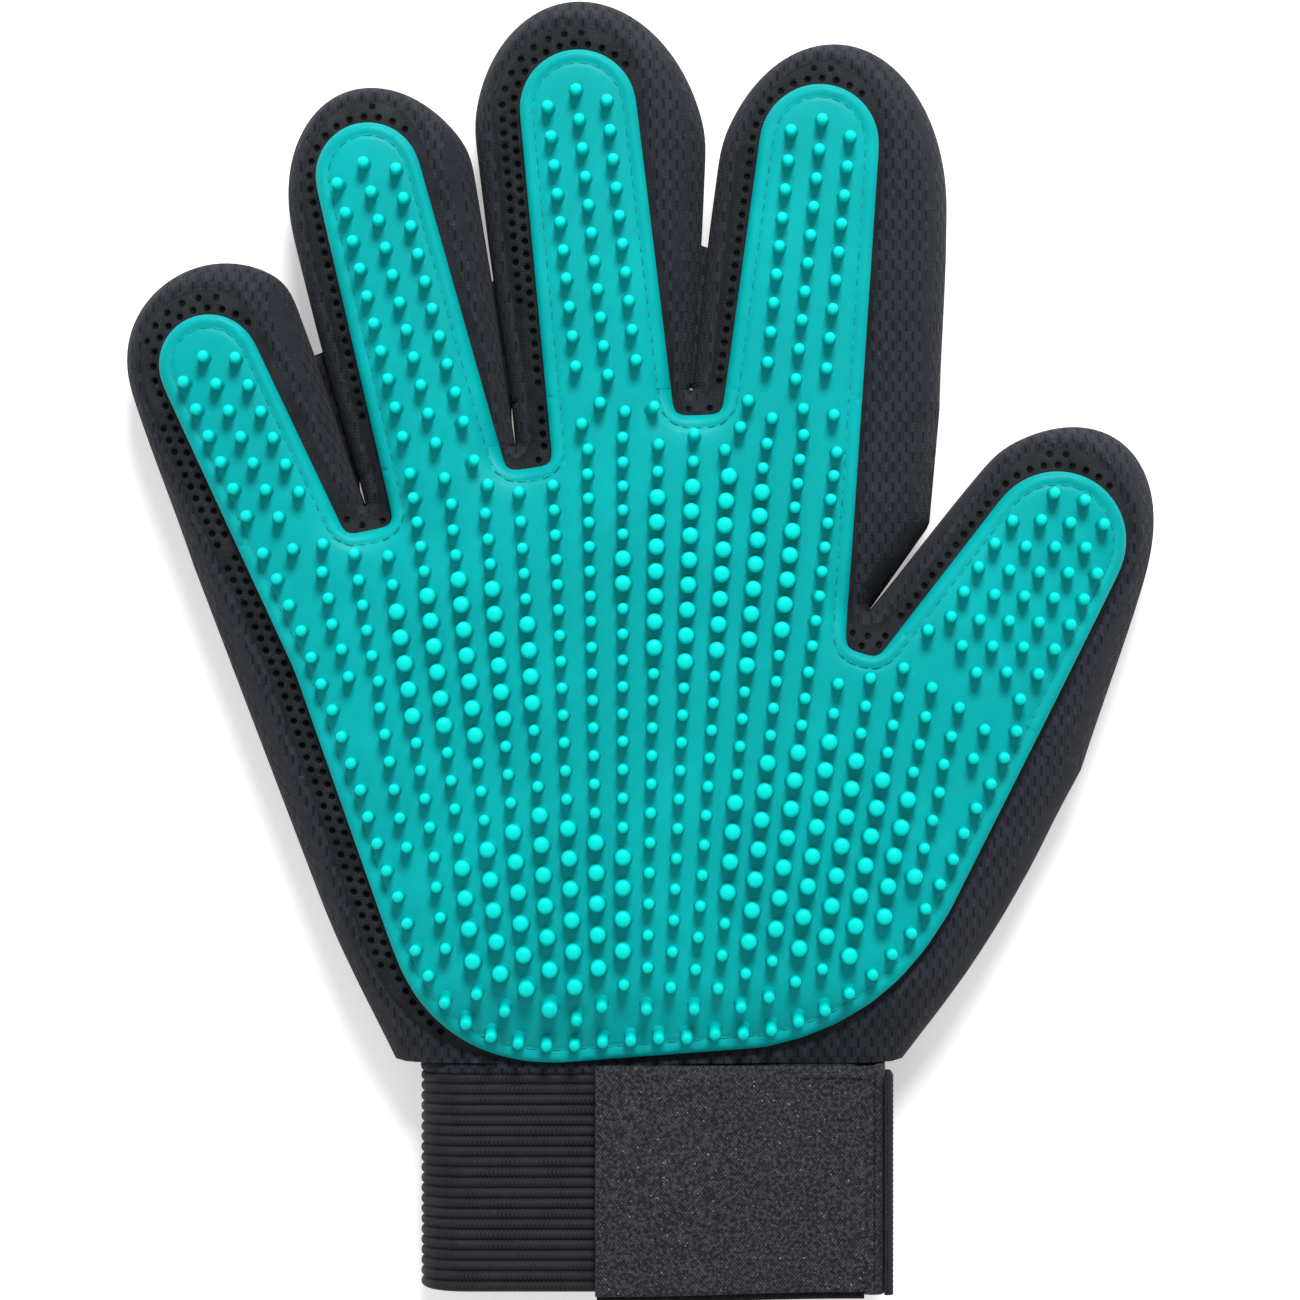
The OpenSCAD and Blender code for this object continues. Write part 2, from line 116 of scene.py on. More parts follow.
def spaced(path, step, closed=False):
    """The same path with evenly spaced points."""
    if closed:
        path = np.vstack([path, path[:1]])
    lengths = np.hypot(*np.diff(path, axis=0).T)
    along = np.concatenate([[0], np.cumsum(lengths)])
    count = max(2, int(round(along[-1] / step)))
    places = np.linspace(0, along[-1], count + 1)
    out = np.column_stack([np.interp(places, along, path[:, k]) for k in (0, 1)])
    return out[:-1] if closed else out


def relaxed(path, rounds, closed=False):
    """The path with its corners eased. The ends of an open one stay."""
    path = path.copy()
    for _ in range(rounds):
        if closed:
            path = path / 2 + (np.roll(path, 1, 0) + np.roll(path, -1, 0)) / 4
        else:
            path[1:-1] = path[1:-1] / 2 + (path[:-2] + path[2:]) / 4
    return path


def outward(path, closed=False):
    """Unit normals to the right of a path, which is outwards on a counter-clockwise one."""
    if closed:
        run = np.roll(path, -1, 0) - np.roll(path, 1, 0)
    else:
        run = np.gradient(path, axis=0)
    normals = np.column_stack([run[:, 1], -run[:, 0]])
    return normals / np.maximum(np.hypot(*normals.T), 1e-9)[:, None]


def closed_path(path):
    return np.vstack([path, path[:1]])


def distance(points, paths):
    """Distance of each point from the nearest of some paths."""
    best = np.full(len(points), 1e9)
    for path in paths:
        start, run = path[:-1], np.diff(path, axis=0)
        size = np.maximum((run**2).sum(1), 1e-12)
        for first in range(0, len(points), 4000):
            off = points[first:first + 4000, None] - start[None]
            share = np.clip((off * run[None]).sum(2) / size, 0, 1)
            away = np.hypot(*(off - share[..., None] * run[None]).transpose(2, 0, 1))
            best[first:first + 4000] = np.minimum(best[first:first + 4000], away.min(1))
    return best


def inside(points, loop):
    """Which points are inside a closed outline."""
    a, b = loop, np.roll(loop, -1, 0)
    odd = np.zeros(len(points), bool)
    for (ax, ay), (bx, by) in zip(a, b):
        if ay == by:
            continue
        spans = (ay > points[:, 1]) != (by > points[:, 1])
        at_x = ax + (bx - ax) * (points[:, 1] - ay) / (by - ay)
        odd ^= spans & (points[:, 0] < at_x)
    return odd


def lattice(lo, hi, pitch):
    """Staggered points over a rectangle."""
    rows = np.arange(lo[1], hi[1], pitch * math.sqrt(0.75))
    return np.array([(x, y) for k, y in enumerate(rows)
                     for x in np.arange(lo[0] + (k % 2) * pitch / 2, hi[0], pitch)])


def tree_of(points):
    tree = KDTree(max(len(points), 1))
    for k, (x, y) in enumerate(points):
        tree.insert((x, y, 0), k)
    tree.balance()
    return tree


class Sketch:
    """Fixed lines and loose points that are filled with triangles."""

    def __init__(self):
        self.points, self.edges = [], []

    def line(self, path, closed=False):
        first, count = len(self.points), len(path)
        self.points += [tuple(p) for p in path]
        self.edges += [(first + k, first + k + 1) for k in range(count - 1)]
        if closed:
            self.edges.append((first + count - 1, first))
        return self

    def dots(self, points, clear):
        """Adds the points that are clear of all that is there already."""
        tree = tree_of(self.points)
        kept = []
        for x, y in points:
            near = tree.find((x, y, 0))[2] if self.points else None
            if near is None or near > clear:
                kept.append((x, y))
        self.points += kept
        return self

    def fill(self):
        found = delaunay_2d_cdt([Vector(p) for p in self.points], self.edges, [], 0, 1e-5)
        points = np.array([tuple(p) for p in found[0]])
        return points, np.array([f for f in found[2] if len(f) == 3])


def facing_up(points, faces, up):
    corners = points[faces]
    run, side = corners[:, 1] - corners[:, 0], corners[:, 2] - corners[:, 0]
    turned = run[:, 0] * side[:, 1] - run[:, 1] * side[:, 0] < 0
    faces = faces.copy()
    wrong = turned if up else ~turned
    faces[wrong] = faces[wrong][:, ::-1]
    return faces


# ---- what the frame says ----

LEVEL_TOLERANCE = 0.02


def cad_points(node):
    mesh = frame["nodes"][node].data
    flat = np.empty(len(mesh.vertices) * 3, np.float32)
    mesh.vertices.foreach_get("co", flat)
    return flat.reshape(-1, 3).astype(float) / MM


def cad_triangles(node):
    mesh = frame["nodes"][node].data
    mesh.calc_loop_triangles()
    index = np.empty(len(mesh.loop_triangles) * 3, np.int32)
    mesh.loop_triangles.foreach_get("vertices", index)
    return cad_points(node)[index.reshape(-1, 3)]


def open_edges(faces):
    """Directed edges that only one of the faces has, each with the number of its face."""
    found = {}
    for number, face in enumerate(faces):
        for a, b in zip(face, face[1:] + face[:1]):
            if (b, a) in found:
                del found[(b, a)]
            elif a != b:
                found[(a, b)] = number
    return found


def level_faces(node, level):
    """Flat triangles, seen from above, that a CAD node has at one height."""
    tris = cad_triangles(node)
    return tris[(np.abs(tris[:, :, 2] - level) < LEVEL_TOLERANCE).all(1)][:, :, :2]


def outline_at(node, level):
    """Outline of the flat face that a CAD node has at one height."""
    faces = np.round(level_faces(node, level), 2)
    return longest_loop(open_edges([[tuple(p) for p in face] for face in faces]))


def longest_loop(edges):
    """Follows directed edges into loops and gives the longest, counter-clockwise."""
    following = dict(list(edges))
    best = []
    while following:
        start = next(iter(following))
        loop, here = [], start
        while here in following:
            loop.append(here)
            here = following.pop(here)
        if len(loop) > len(best):
            best = loop
    loop = np.array(best)
    area = (loop[:, 0] * np.roll(loop[:, 1], -1) - loop[:, 1] * np.roll(loop[:, 0], -1)).sum()
    return loop if area > 0 else loop[::-1]


class Knuckle:
    """A finger's hinge: its middle, the way the finger points, and across it."""

    def __init__(self, finger):
        joint = next(j for j in frame["joints"] if j["child"] == BODY_OF[finger])
        self.pivot = np.array(joint["pos_m"][:2]) / MM
        self.across = np.array(joint["axis"][:2])
        self.ahead = np.array([-self.across[1], self.across[0]])

    def reach(self, points):
        return (points - self.pivot) @ self.ahead

    def sideways(self, points):
        return (points - self.pivot) @ self.across


KNUCKLE = {finger: Knuckle(finger) for finger in FINGERS}
GAP = 0.45  # more than the gap that the CAD leaves at a knuckle


def boundary(points, tris):
    """Longest outline round some triangles."""
    return longest_loop(open_edges([[tuple(p) for p in points[tri]] for tri in tris]))


def joined(loops, also=(), keep=None):
    """One outline round several that overlap, cut back along other paths where keep says so."""
    sketch = Sketch()
    for loop in loops:
        sketch.line(loop, True)
    for path in also:
        sketch.line(path)
    points, tris = sketch.fill()
    tris = facing_up(points, tris, True)
    centres = points[tris].mean(1)
    held = np.any([inside(centres, loop) for loop in loops], axis=0)
    if keep is not None:
        held &= keep(centres)
    return boundary(points, tris[held])


def pad_outline():
    """Outline of the moulded pad, which the CAD cuts into a palm and five fingers."""
    loops = [outline_at(part + "_pad", PAD_BASE) for part in PARTS]
    snapped = []
    for finger, finger_ring in zip(FINGERS, loops[1:]):
        knuckle = KNUCKLE[finger]
        for loop in (loops[0], finger_ring):
            reach = knuckle.reach(loop)
            near = (np.abs(reach) < GAP) & (np.abs(knuckle.sideways(loop)) < 30)
            loop[near] -= reach[near, None] * knuckle.ahead
            for k in np.flatnonzero(near):
                twin = [q for q in snapped if np.hypot(*(q - loop[k])) < 0.8]
                if twin:
                    loop[k] = twin[0]
                else:
                    snapped.append(loop[k].copy())
    return joined(loops)


PAD_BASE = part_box("palm_pad")[0].z / MM
NUB_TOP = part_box("palm_pad")[1].z / MM
THREAD_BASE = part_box("palm_thread")[0].z / MM
PAD_THICK = THREAD_BASE - PAD_BASE
NUB_HEIGHT = NUB_TOP - THREAD_BASE
BODY_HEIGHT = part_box("palm_knit")[1].z / MM
WRIST_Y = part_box("palm_knit")[0].y / MM
CUFF_LOW, CUFF_HIGH = [np.array(corner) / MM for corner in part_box("cuff_elastic")]
CUFF_HEIGHT = CUFF_HIGH[2] - CUFF_LOW[2]

# ---- outline of the fabric ----

ROOT_NEAR = 0.3  # a corner of a finger's outline is at its root within this reach
HELD = 0.97  # share of an inset that a moved point keeps where edges crowd
EASE_ROUNDS = 6


def finger_path(finger):
    """Free edge of a finger, from its right root over the tip to its left root."""
    knuckle = KNUCKLE[finger]
    ring = hull(cad_points(finger + "_knit")[:, :2])
    reach = knuckle.reach(ring)
    root = np.flatnonzero(reach < ROOT_NEAR)
    right = root[np.argmax(knuckle.sideways(ring)[root])]
    ring = np.roll(ring, -right, 0)
    left = np.flatnonzero(knuckle.reach(ring) >= ROOT_NEAR).max() + 1
    path = ring[:left + 1] if left < len(ring) else ring
    for end in (0, -1):
        path[end] -= knuckle.reach(path[end:][:1])[0] * knuckle.ahead
    return path


ROOT_RAMP = 30.0  # distance over which the fabric swells past the CAD outline
SWELL_ROOT, SWELL_TIP = 0.1, 0.75


def grown(path, reach):
    """A path moved outwards, more so away from the knuckle."""
    amount = mix(SWELL_ROOT, SWELL_TIP, smoothstep(reach / ROOT_RAMP))
    return path + outward(path) * amount[:, None]


EDGE_STEP = 1.3
finger_edge = {}
for finger in FINGERS:
    knuckle = KNUCKLE[finger]
    path = relaxed(spaced(finger_path(finger), EDGE_STEP), EASE_ROUNDS)
    path = grown(path, knuckle.reach(path))
    path[[0, -1]] -= knuckle.reach(path[[0, -1]])[:, None] * knuckle.ahead
    finger_edge[finger] = path
root_right = {f: finger_edge[f][0] for f in FINGERS}
root_left = {f: finger_edge[f][-1] for f in FINGERS}

palm_points = cad_points("palm_knit")
palm_points = palm_points[np.abs(palm_points[:, 2] - BODY_HEIGHT / 2) < 0.1][:, :2]
palm_ring = hull(palm_points)


def chain(points, start, end):
    """Start, the points in order of height, then end."""
    order = np.argsort(points[:, 1])
    if start[1] > end[1]:
        order = order[::-1]
    return np.vstack([start, points[order], end])


left_low = root_left["little"][1] - 1
palm_left = palm_ring[(palm_ring[:, 0] < 0) & (palm_ring[:, 1] < left_low)]
wrist_left = palm_left[np.argmin(palm_left[:, 1])]
palm_left = chain(palm_left[palm_left[:, 1] > wrist_left[1] + 1], root_left["little"], wrist_left)
right_low = root_right["thumb"][1] - 1
palm_right = palm_ring[(palm_ring[:, 0] > 0) & (palm_ring[:, 1] < right_low)]
wrist_right = palm_right[np.argmin(palm_right[:, 1])]
palm_right = chain(palm_right[palm_right[:, 1] > wrist_right[1] + 1], wrist_right, root_right["thumb"])
between = palm_points[(palm_points[:, 0] > root_left["thumb"][0] + 3)
                      & (palm_points[:, 1] > root_left["thumb"][1] + 3)
                      & (palm_points[:, 1] < root_right["index"][1] - 3)]
thumb_web = between[np.argmax(between[:, 0] - 0.5 * between[:, 1])]
crotch = np.array([root_left["thumb"], thumb_web, root_right["index"]])[::-1]

palm_edges = {
    "left": relaxed(spaced(palm_left, EDGE_STEP), EASE_ROUNDS),
    "right": relaxed(spaced(palm_right, EDGE_STEP), EASE_ROUNDS),
    "crotch": spaced(crotch, EDGE_STEP),
}
for a, b in zip(FINGERS[:3], FINGERS[1:4]):
    palm_edges[a] = spaced(np.array([root_left[b], root_right[a]]), 1.0)
wrist_edge = spaced(np.array([palm_edges["left"][-1], palm_edges["right"][0]]), 2.2)

free_edges = list(finger_edge.values()) + list(palm_edges.values())
palm_loop = np.vstack([
    palm_edges["left"], wrist_edge[1:-1], palm_edges["right"],
    [root_left["thumb"]], palm_edges["crotch"][::-1][1:-1],
    [root_right["index"], root_left["index"], root_right["middle"], root_left["middle"],
     root_right["ring"], root_left["ring"], root_right["little"]]])

KNUCKLE_STEP = 1.6  # distance between points along a knuckle line
# The air mesh shows past the pad by these steps: broad on the little finger's side and
# at the tips, and hardly at all on the thumb's side.
MESH_STEPS = [(0, 0), (-2.6, 0), (-5.2, 0.4), (-4.6, 2.8), (-2.4, 4.7), (0, 4.8), (1, 2.8), (0.9, -0.5)]
SIDE_KEEP = 3.0  # the least width of knit between the air mesh and the side


WRIST_KEEP = 0.6  # the least length of knit between the air mesh and the wrist


def moved_in(path, inset):
    """A free edge moved inwards, without the points that come nearer to another edge."""
    moved = path - outward(path) * inset
    return moved[distance(moved, free_edges) > inset * HELD]


def mesh_outline():
    """Outline of the air mesh: the pad's own, moved by each step, less the rim of knit."""
    inset = [moved_in(path, SIDE_KEEP) for path in free_edges]

    def keep(points):
        return (distance(points, free_edges) > SIDE_KEEP) & (points[:, 1] > WRIST_Y + WRIST_KEEP)

    floor_line = np.array([[-70, WRIST_Y + WRIST_KEEP], [70, WRIST_Y + WRIST_KEEP]])
    coarse = spaced(pad_edge, 2.0, True)
    return joined([coarse + np.array(step) for step in MESH_STEPS],
                  [path for path in inset if len(path) > 1] + [floor_line], keep)


pad_edge = relaxed(spaced(pad_outline(), 1.0, True), 2, True)
mesh_edge = relaxed(spaced(mesh_outline(), 1.0, True), 8, True)
mesh_path, pad_path = closed_path(mesh_edge), closed_path(pad_edge)
knuckle_paths = {f: np.array([root_right[f], root_left[f]]) for f in FINGERS}


def owner(points):
    """Number in PARTS of the part that each point belongs to."""
    found = np.full(len(points), -1)
    found[inside(points, palm_loop)] = 0
    for k, finger in enumerate(FINGERS):
        ahead = KNUCKLE[finger].reach(points) > 0
        found[ahead & inside(points, finger_edge[finger])] = k + 1
    return found

# ---- heights ----

SIDE_ROUND, BACK_ROUND = 10.5, 7.5  # how far in the side curves over to the pad side and the back
WRIST_RUN = 15.0  # length over which the body flattens to the cuff
TIP_THINNER, TIP_RUN = 0.07, 70.0  # a finger thins by this share over this length
CROWN, CROWN_RUN = 0.05, 16.0  # rise of the middle over the rim
SEAM_DEEP, SEAM_WIDE = 0.75, 0.65  # crease where the knit is sewn to the air mesh
RIDGE_HIGH, RIDGE_AWAY, RIDGE_WIDE = 0.55, 1.7, 1.1  # roll of knit beside that crease


def wrist_share(points):
    return smoothstep((WRIST_Y + WRIST_RUN - points[:, 1]) / WRIST_RUN)


def middle_height(points):
    """Height of the glove's side seam, halfway up it."""
    return mix(BODY_HEIGHT, CUFF_HEIGHT, wrist_share(points)) / 2


def quarter_round(away, run):
    """How far up a rounded side has come at a distance from its edge, from 0 to 1."""
    return np.sqrt(1 - (1 - np.clip(away / run, 0, 1))**2)


def crowned(points, away, rounding):
    """Height of the pad side, full in the middle and thinner towards the fingertips."""
    middle = middle_height(points)
    half = middle.copy()
    for finger in FINGERS:
        thinner = middle * (1 - TIP_THINNER * smoothstep(KNUCKLE[finger].reach(points) / TIP_RUN))
        half = np.where(inside(points, finger_edge[finger]), thinner, half)
    crown = 1 - CROWN + CROWN * smoothstep(away / CROWN_RUN)
    return middle + half * quarter_round(away, rounding) * crown


def fabric_height(points, up):
    """Height of the fabric over each point: on the pad side, or on the back."""
    away = distance(points, free_edges)
    rounding = mix(SIDE_ROUND if up else BACK_ROUND, CUFF_HEIGHT / 2, wrist_share(points))
    if not up:
        return middle_height(points) * (1 - quarter_round(away, rounding))
    height = crowned(points, away, rounding)
    seam = distance(points, [mesh_path])
    height -= SEAM_DEEP * np.exp(-(seam / SEAM_WIDE)**2)
    ridge = RIDGE_HIGH * np.exp(-((seam - RIDGE_AWAY) / RIDGE_WIDE)**2)
    return height + np.where(inside(points, mesh_edge), 0, ridge)


def add_rounding(sketch, step, radius):
    """Points that follow the free edges inwards, closer together where the side is steep."""
    for angle in (15, 29, 42, 54, 66, 78):
        inset = radius * (1 - math.cos(math.radians(angle)))
        for path in free_edges:
            moved = moved_in(spaced(path, step) if inset > 1 else path, inset)
            sketch.dots(moved, min(0.6, inset * 0.8))


HOLE_PITCH, HOLE_RADIUS, HOLE_FLOOR = 2.3, 0.8, 0.56  # rim and bottom of a hole of the air mesh
HOLE_DEEP = 0.75
HOLE_ROWS, HOLE_START, HOLE_STEP = 4, 1.25, 2.0  # rows and their distances from the pad
HOLE_CORNERS = 9


def hole_centres():
    """Holes of the air mesh, in staggered rows round the pad."""
    out = []
    loop = spaced(pad_edge, HOLE_PITCH / 2, True)
    normals = outward(relaxed(loop, 6, True), True)
    for row in range(HOLE_ROWS):
        centres = (loop + normals * (HOLE_START + row * HOLE_STEP))[row % 2::2]
        for centre in centres:
            if all(np.hypot(*(centre - other)) > HOLE_PITCH * 0.86 for other in out):
                out.append(centre)
    out = np.array(out)
    clear = distance(out, [mesh_path]) > HOLE_RADIUS + 0.32
    clear &= distance(out, [pad_path]) > HOLE_RADIUS + 0.25
    clear &= distance(out, list(knuckle_paths.values())) > HOLE_RADIUS + 0.25
    return out[clear & inside(out, mesh_edge)]


HOLES = hole_centres()


def circle(centre, radius, count=HOLE_CORNERS):
    angle = np.arange(count) * 2 * math.pi / count
    return centre + radius * np.column_stack([np.cos(angle), np.sin(angle)])


# ---- fabric of the palm and fingers ----


def fill_fabric(up):
    """Triangles over the whole hand, with the lines that the layers are split on."""
    sketch = Sketch()
    for path in free_edges + [wrist_edge]:
        sketch.line(path)
    for finger in FINGERS:
        sketch.line(spaced(knuckle_paths[finger], KNUCKLE_STEP))
    if up:
        sketch.line(mesh_edge, True)
        for centre in HOLES:
            sketch.line(circle(centre, HOLE_RADIUS), True)
            sketch.dots([centre], 0)
            sketch.line(circle(centre, HOLE_FLOOR), True)
        normals = outward(mesh_edge, True)
        for away, clear in ((SEAM_WIDE, 0.45), (-SEAM_WIDE, 0.45), (RIDGE_AWAY, 0.6)):
            sketch.dots(mesh_edge + normals * away, clear)
    add_rounding(sketch, 1.8 if up else 2.6, SIDE_ROUND if up else BACK_ROUND)
    lo, hi = palm_points.min(0) - 20, palm_points.max(0) + 70
    pitch = 2.3 if up else 3.4
    sketch.dots(lattice(lo, hi, pitch), pitch * 0.6)
    points, tris = sketch.fill()
    part = owner(points[tris].mean(1))
    return points, tris[part >= 0], part[part >= 0]


def weld(points, faces, tolerance=1e-4):
    """Points at the same place made one."""
    keys = np.round(points / tolerance).astype(np.int64)
    _, first, index = np.unique(keys, axis=0, return_index=True, return_inverse=True)
    return points[first], index.reshape(-1)[faces]


def point_normals(points, faces):
    corners = points[faces]
    cross = np.cross(corners[:, 1] - corners[:, 0], corners[:, 2] - corners[:, 0])
    normals = np.zeros_like(points)
    for k in range(3):
        np.add.at(normals, faces[:, k], cross)
    return normals / np.maximum(np.linalg.norm(normals, axis=1), 1e-9)[:, None]


front_points, front_tris, front_part = fill_fabric(True)
front_tris = facing_up(front_points, front_tris, True)
front_z = fabric_height(front_points, True)
hole_tree = tree_of(HOLES)
from_hole = np.array([hole_tree.find((x, y, 0))[2] for x, y in front_points])
in_hole = from_hole < (HOLE_RADIUS + HOLE_FLOOR) / 2
front_z[in_hole] -= HOLE_DEEP
centres = front_points[front_tris].mean(1)
front_mesh = inside(centres, mesh_edge)
# Floors of the holes, which take the painted hole shade.
hole_face = in_hole[front_tris].all(1)

back_points, back_tris, back_part = fill_fabric(False)
back_tris = facing_up(back_points, back_tris, False)
back_z = fabric_height(back_points, False)
for points, z in ((back_points, back_z), (front_points, front_z)):
    on_edge = distance(points, free_edges) < 1e-3
    z[on_edge] = middle_height(points)[on_edge]

skin_points = np.vstack([np.column_stack([front_points, front_z]),
                         np.column_stack([back_points, back_z])])
skin_faces = np.vstack([front_tris, back_tris + len(front_points)])
skin_part = np.concatenate([front_part, back_part])
skin_mesh = np.concatenate([front_mesh, np.zeros(len(back_tris), bool)])
skin_hole = np.concatenate([hole_face, np.zeros(len(back_tris), bool)])
skin_points, skin_faces = weld(skin_points, skin_faces)
corner_sets = np.sort(skin_faces, axis=1)
_, twin, twins = np.unique(corner_sets, axis=0, return_inverse=True, return_counts=True)
single = twins[twin.reshape(-1)] == 1
skin_faces, skin_part = skin_faces[single], skin_part[single]
skin_mesh, skin_hole = skin_mesh[single], skin_hole[single]
skin_normals = point_normals(skin_points, skin_faces)


def make_object(name, points, faces, materials, face_material=None, normals=None, smooth=True):
    """A mesh object from points in millimetres."""
    mesh = bpy.data.meshes.new(name)
    mesh.from_pydata((np.asarray(points) * MM).tolist(), [], [list(map(int, f)) for f in faces])
    mesh.polygons.foreach_set("use_smooth", [smooth] * len(mesh.polygons))
    for material in materials:
        mesh.materials.append(material)
    if face_material is not None:
        mesh.polygons.foreach_set("material_index", np.asarray(face_material, np.int32))
    obj = bpy.data.objects.new(name, mesh)
    bpy.context.scene.collection.objects.link(obj)
    if normals is not None:
        mesh.normals_split_custom_set_from_vertices([tuple(n) for n in normals])
    return obj


def shell(points, faces, normals, wall, marks):
    """A wall of cloth: the faces, the same faces further in, and rims between them."""
    used, index = np.unique(faces, return_inverse=True)
    faces = index.reshape(-1, 3)
    points, normals = points[used], normals[used]
    count = len(points)
    inner = points - normals * wall
    sides = open_edges(faces.tolist())
    rims = [(b, a, a + count, b + count) for a, b in sides]
    quads = [tuple(f) for f in faces] + [tuple(f[::-1] + count) for f in faces] + rims
    kinds = list(marks) + list(marks) + [marks[face] for face in sides.values()]
    return np.vstack([points, inner]), quads, np.vstack([normals, -normals]), kinds

# ---- finishes ----


class Finish:
    """A material, and short calls that add nodes to it or to a group."""

    def __init__(self, name, **constant):
        self.material = bpy.data.materials.new(name)
        self.material.use_nodes = True
        self.tree = self.material.node_tree
        self.shader = self.tree.nodes["Principled BSDF"]
        for socket, value in constant.items():
            self.shader.inputs[socket.replace("_", " ")].default_value = value

    def node(self, kind, inputs=(), **settings):
        made = self.tree.nodes.new(kind)
        for key, value in settings.items():
            setattr(made, key, value)
        for key, value in dict(inputs).items():
            self.feed(made.inputs[key], value)
        return made

    def feed(self, socket, value):
        if isinstance(value, bpy.types.NodeSocket):
            self.tree.links.new(value, socket)
        else:
            socket.default_value = value

    def math(self, operation, a, b=0.0, c=None):
        made = self.node("ShaderNodeMath", {0: a, 1: b}, operation=operation)
        if c is not None:
            self.feed(made.inputs[2], c)
        return made.outputs[0]

    def vary(self, value, low, high, to_low=0.0, to_high=1.0):
        made = self.node("ShaderNodeMapRange", {"Value": value, "From Min": low, "From Max": high,
                                                "To Min": to_low, "To Max": to_high},
                         interpolation_type="SMOOTHSTEP")
        return made.outputs["Result"]

    def noise(self, vector, scale, detail=3.0, roughness=0.55):
        made = self.node("ShaderNodeTexNoise", {"Vector": vector, "Scale": scale, "Detail": detail,
                                                "Roughness": roughness})
        return made.outputs["Fac"]

    def blend_colours(self, share, a, b):
        made = self.node("ShaderNodeMix", {"Factor": share}, data_type="RGBA")
        self.feed(made.inputs["A"], a)
        self.feed(made.inputs["B"], b)
        return made.outputs["Result"]

    def object_place(self):
        return self.node("ShaderNodeTexCoord").outputs["Object"]

    def group(self, tree, **inputs):
        made = self.node("ShaderNodeGroup")
        made.node_tree = tree
        for key, value in inputs.items():
            self.feed(made.inputs[key.replace("_", " ")], value)
        return made

    def bump(self, height, strength, deep):
        made = self.node("ShaderNodeBump", {"Height": height, "Strength": strength, "Distance": deep})
        self.tree.links.new(made.outputs["Normal"], self.shader.inputs["Normal"])

    def into(self, socket, value):
        self.tree.links.new(value, self.shader.inputs[socket])

    def flecked(self, colour, wear, share, fleck):
        """The colour with sparse pale flecks of lint."""
        return self.blend_colours(self.math("MULTIPLY", wear.outputs["Flecks"], share), colour, fleck)

    def worn(self, wear, low, high):
        """Roughness that differs between handled patches and the rest."""
        self.into("Roughness", self.vary(wear.outputs["Patches"], 0.0, 1.0, low, high))


class Group(Finish):
    """A shader node group with named inputs and outputs."""

    def __init__(self, name, inputs, outputs):
        self.tree = bpy.data.node_groups.new(name, "ShaderNodeTree")
        for label, kind, value in inputs:
            socket = self.tree.interface.new_socket(label, in_out="INPUT", socket_type=kind)
            if value is not None:
                socket.default_value = value
        for label, kind in outputs:
            self.tree.interface.new_socket(label, in_out="OUTPUT", socket_type=kind)
        self.given = self.tree.nodes.new("NodeGroupInput").outputs
        self.result = self.tree.nodes.new("NodeGroupOutput").inputs


def split(finish, vector):
    return finish.node("ShaderNodeSeparateXYZ", {"Vector": vector}).outputs


FLOAT, VECTOR = "NodeSocketFloat", "NodeSocketVector"


def make_yarn():
    """Fine uneven grain of spun or textured yarn."""
    g = Group("yarn_grain", [("Place", VECTOR, None), ("Scale", FLOAT, 3000.0)],
              [("Height", FLOAT), ("Mask", FLOAT)])
    fine = g.noise(g.given["Place"], g.given["Scale"], 2.0)
    coarse = g.noise(g.given["Place"], g.math("DIVIDE", g.given["Scale"], 9.0), 2.0)
    g.feed(g.result["Height"], fine)
    g.feed(g.result["Mask"], g.vary(coarse, 0.35, 0.65))
    return g.tree


def make_wear():
    """Soft patches of handling wear and lint, with a sparse fleck."""
    g = Group("handling_wear", [("Place", VECTOR, None), ("Patch", FLOAT, 60.0), ("Fleck", FLOAT, 900.0)],
              [("Patches", FLOAT), ("Flecks", FLOAT)])
    g.feed(g.result["Patches"], g.vary(g.noise(g.given["Place"], g.given["Patch"], 4.0), 0.4, 0.7))
    g.feed(g.result["Flecks"], g.vary(g.noise(g.given["Place"], g.given["Fleck"], 1.0), 0.7, 0.78))
    return g.tree


def make_wales():
    """Rows of knitted ribs with short staggered slits, over a flat place (U across, V along)."""
    g = Group("knit_wales", [("U", FLOAT, None), ("V", FLOAT, None), ("Wale", FLOAT, 0.0012),
                             ("Course", FLOAT, 0.0036)],
              [("Rib", FLOAT), ("Slit", FLOAT), ("Stitch", FLOAT)])
    across = g.math("DIVIDE", g.given["U"], g.given["Wale"])
    row = g.math("FLOOR", across)
    shift = g.math("FRACT", g.math("MULTIPLY", row, 0.5))
    along = g.math("ADD", g.math("DIVIDE", g.given["V"], g.given["Course"]), shift)
    fu = g.math("ABSOLUTE", g.math("SUBTRACT", g.math("FRACT", across), 0.5))
    fv = g.math("ABSOLUTE", g.math("SUBTRACT", g.math("FRACT", along), 0.5))
    slit = g.math("MULTIPLY", g.vary(fu, 0.12, 0.3, 1.0, 0.0), g.vary(fv, 0.2, 0.32, 1.0, 0.0))
    g.feed(g.result["Rib"], g.vary(fu, 0.5, 0.1, 0.0, 1.0))
    g.feed(g.result["Slit"], slit)
    loops = g.math("SINE", g.math("MULTIPLY", g.given["V"], 2 * math.pi / 0.0006))
    g.feed(g.result["Stitch"], g.math("MULTIPLY", loops, 0.5))
    return g.tree


YARN, WEAR, WALES = make_yarn(), make_wear(), make_wales()


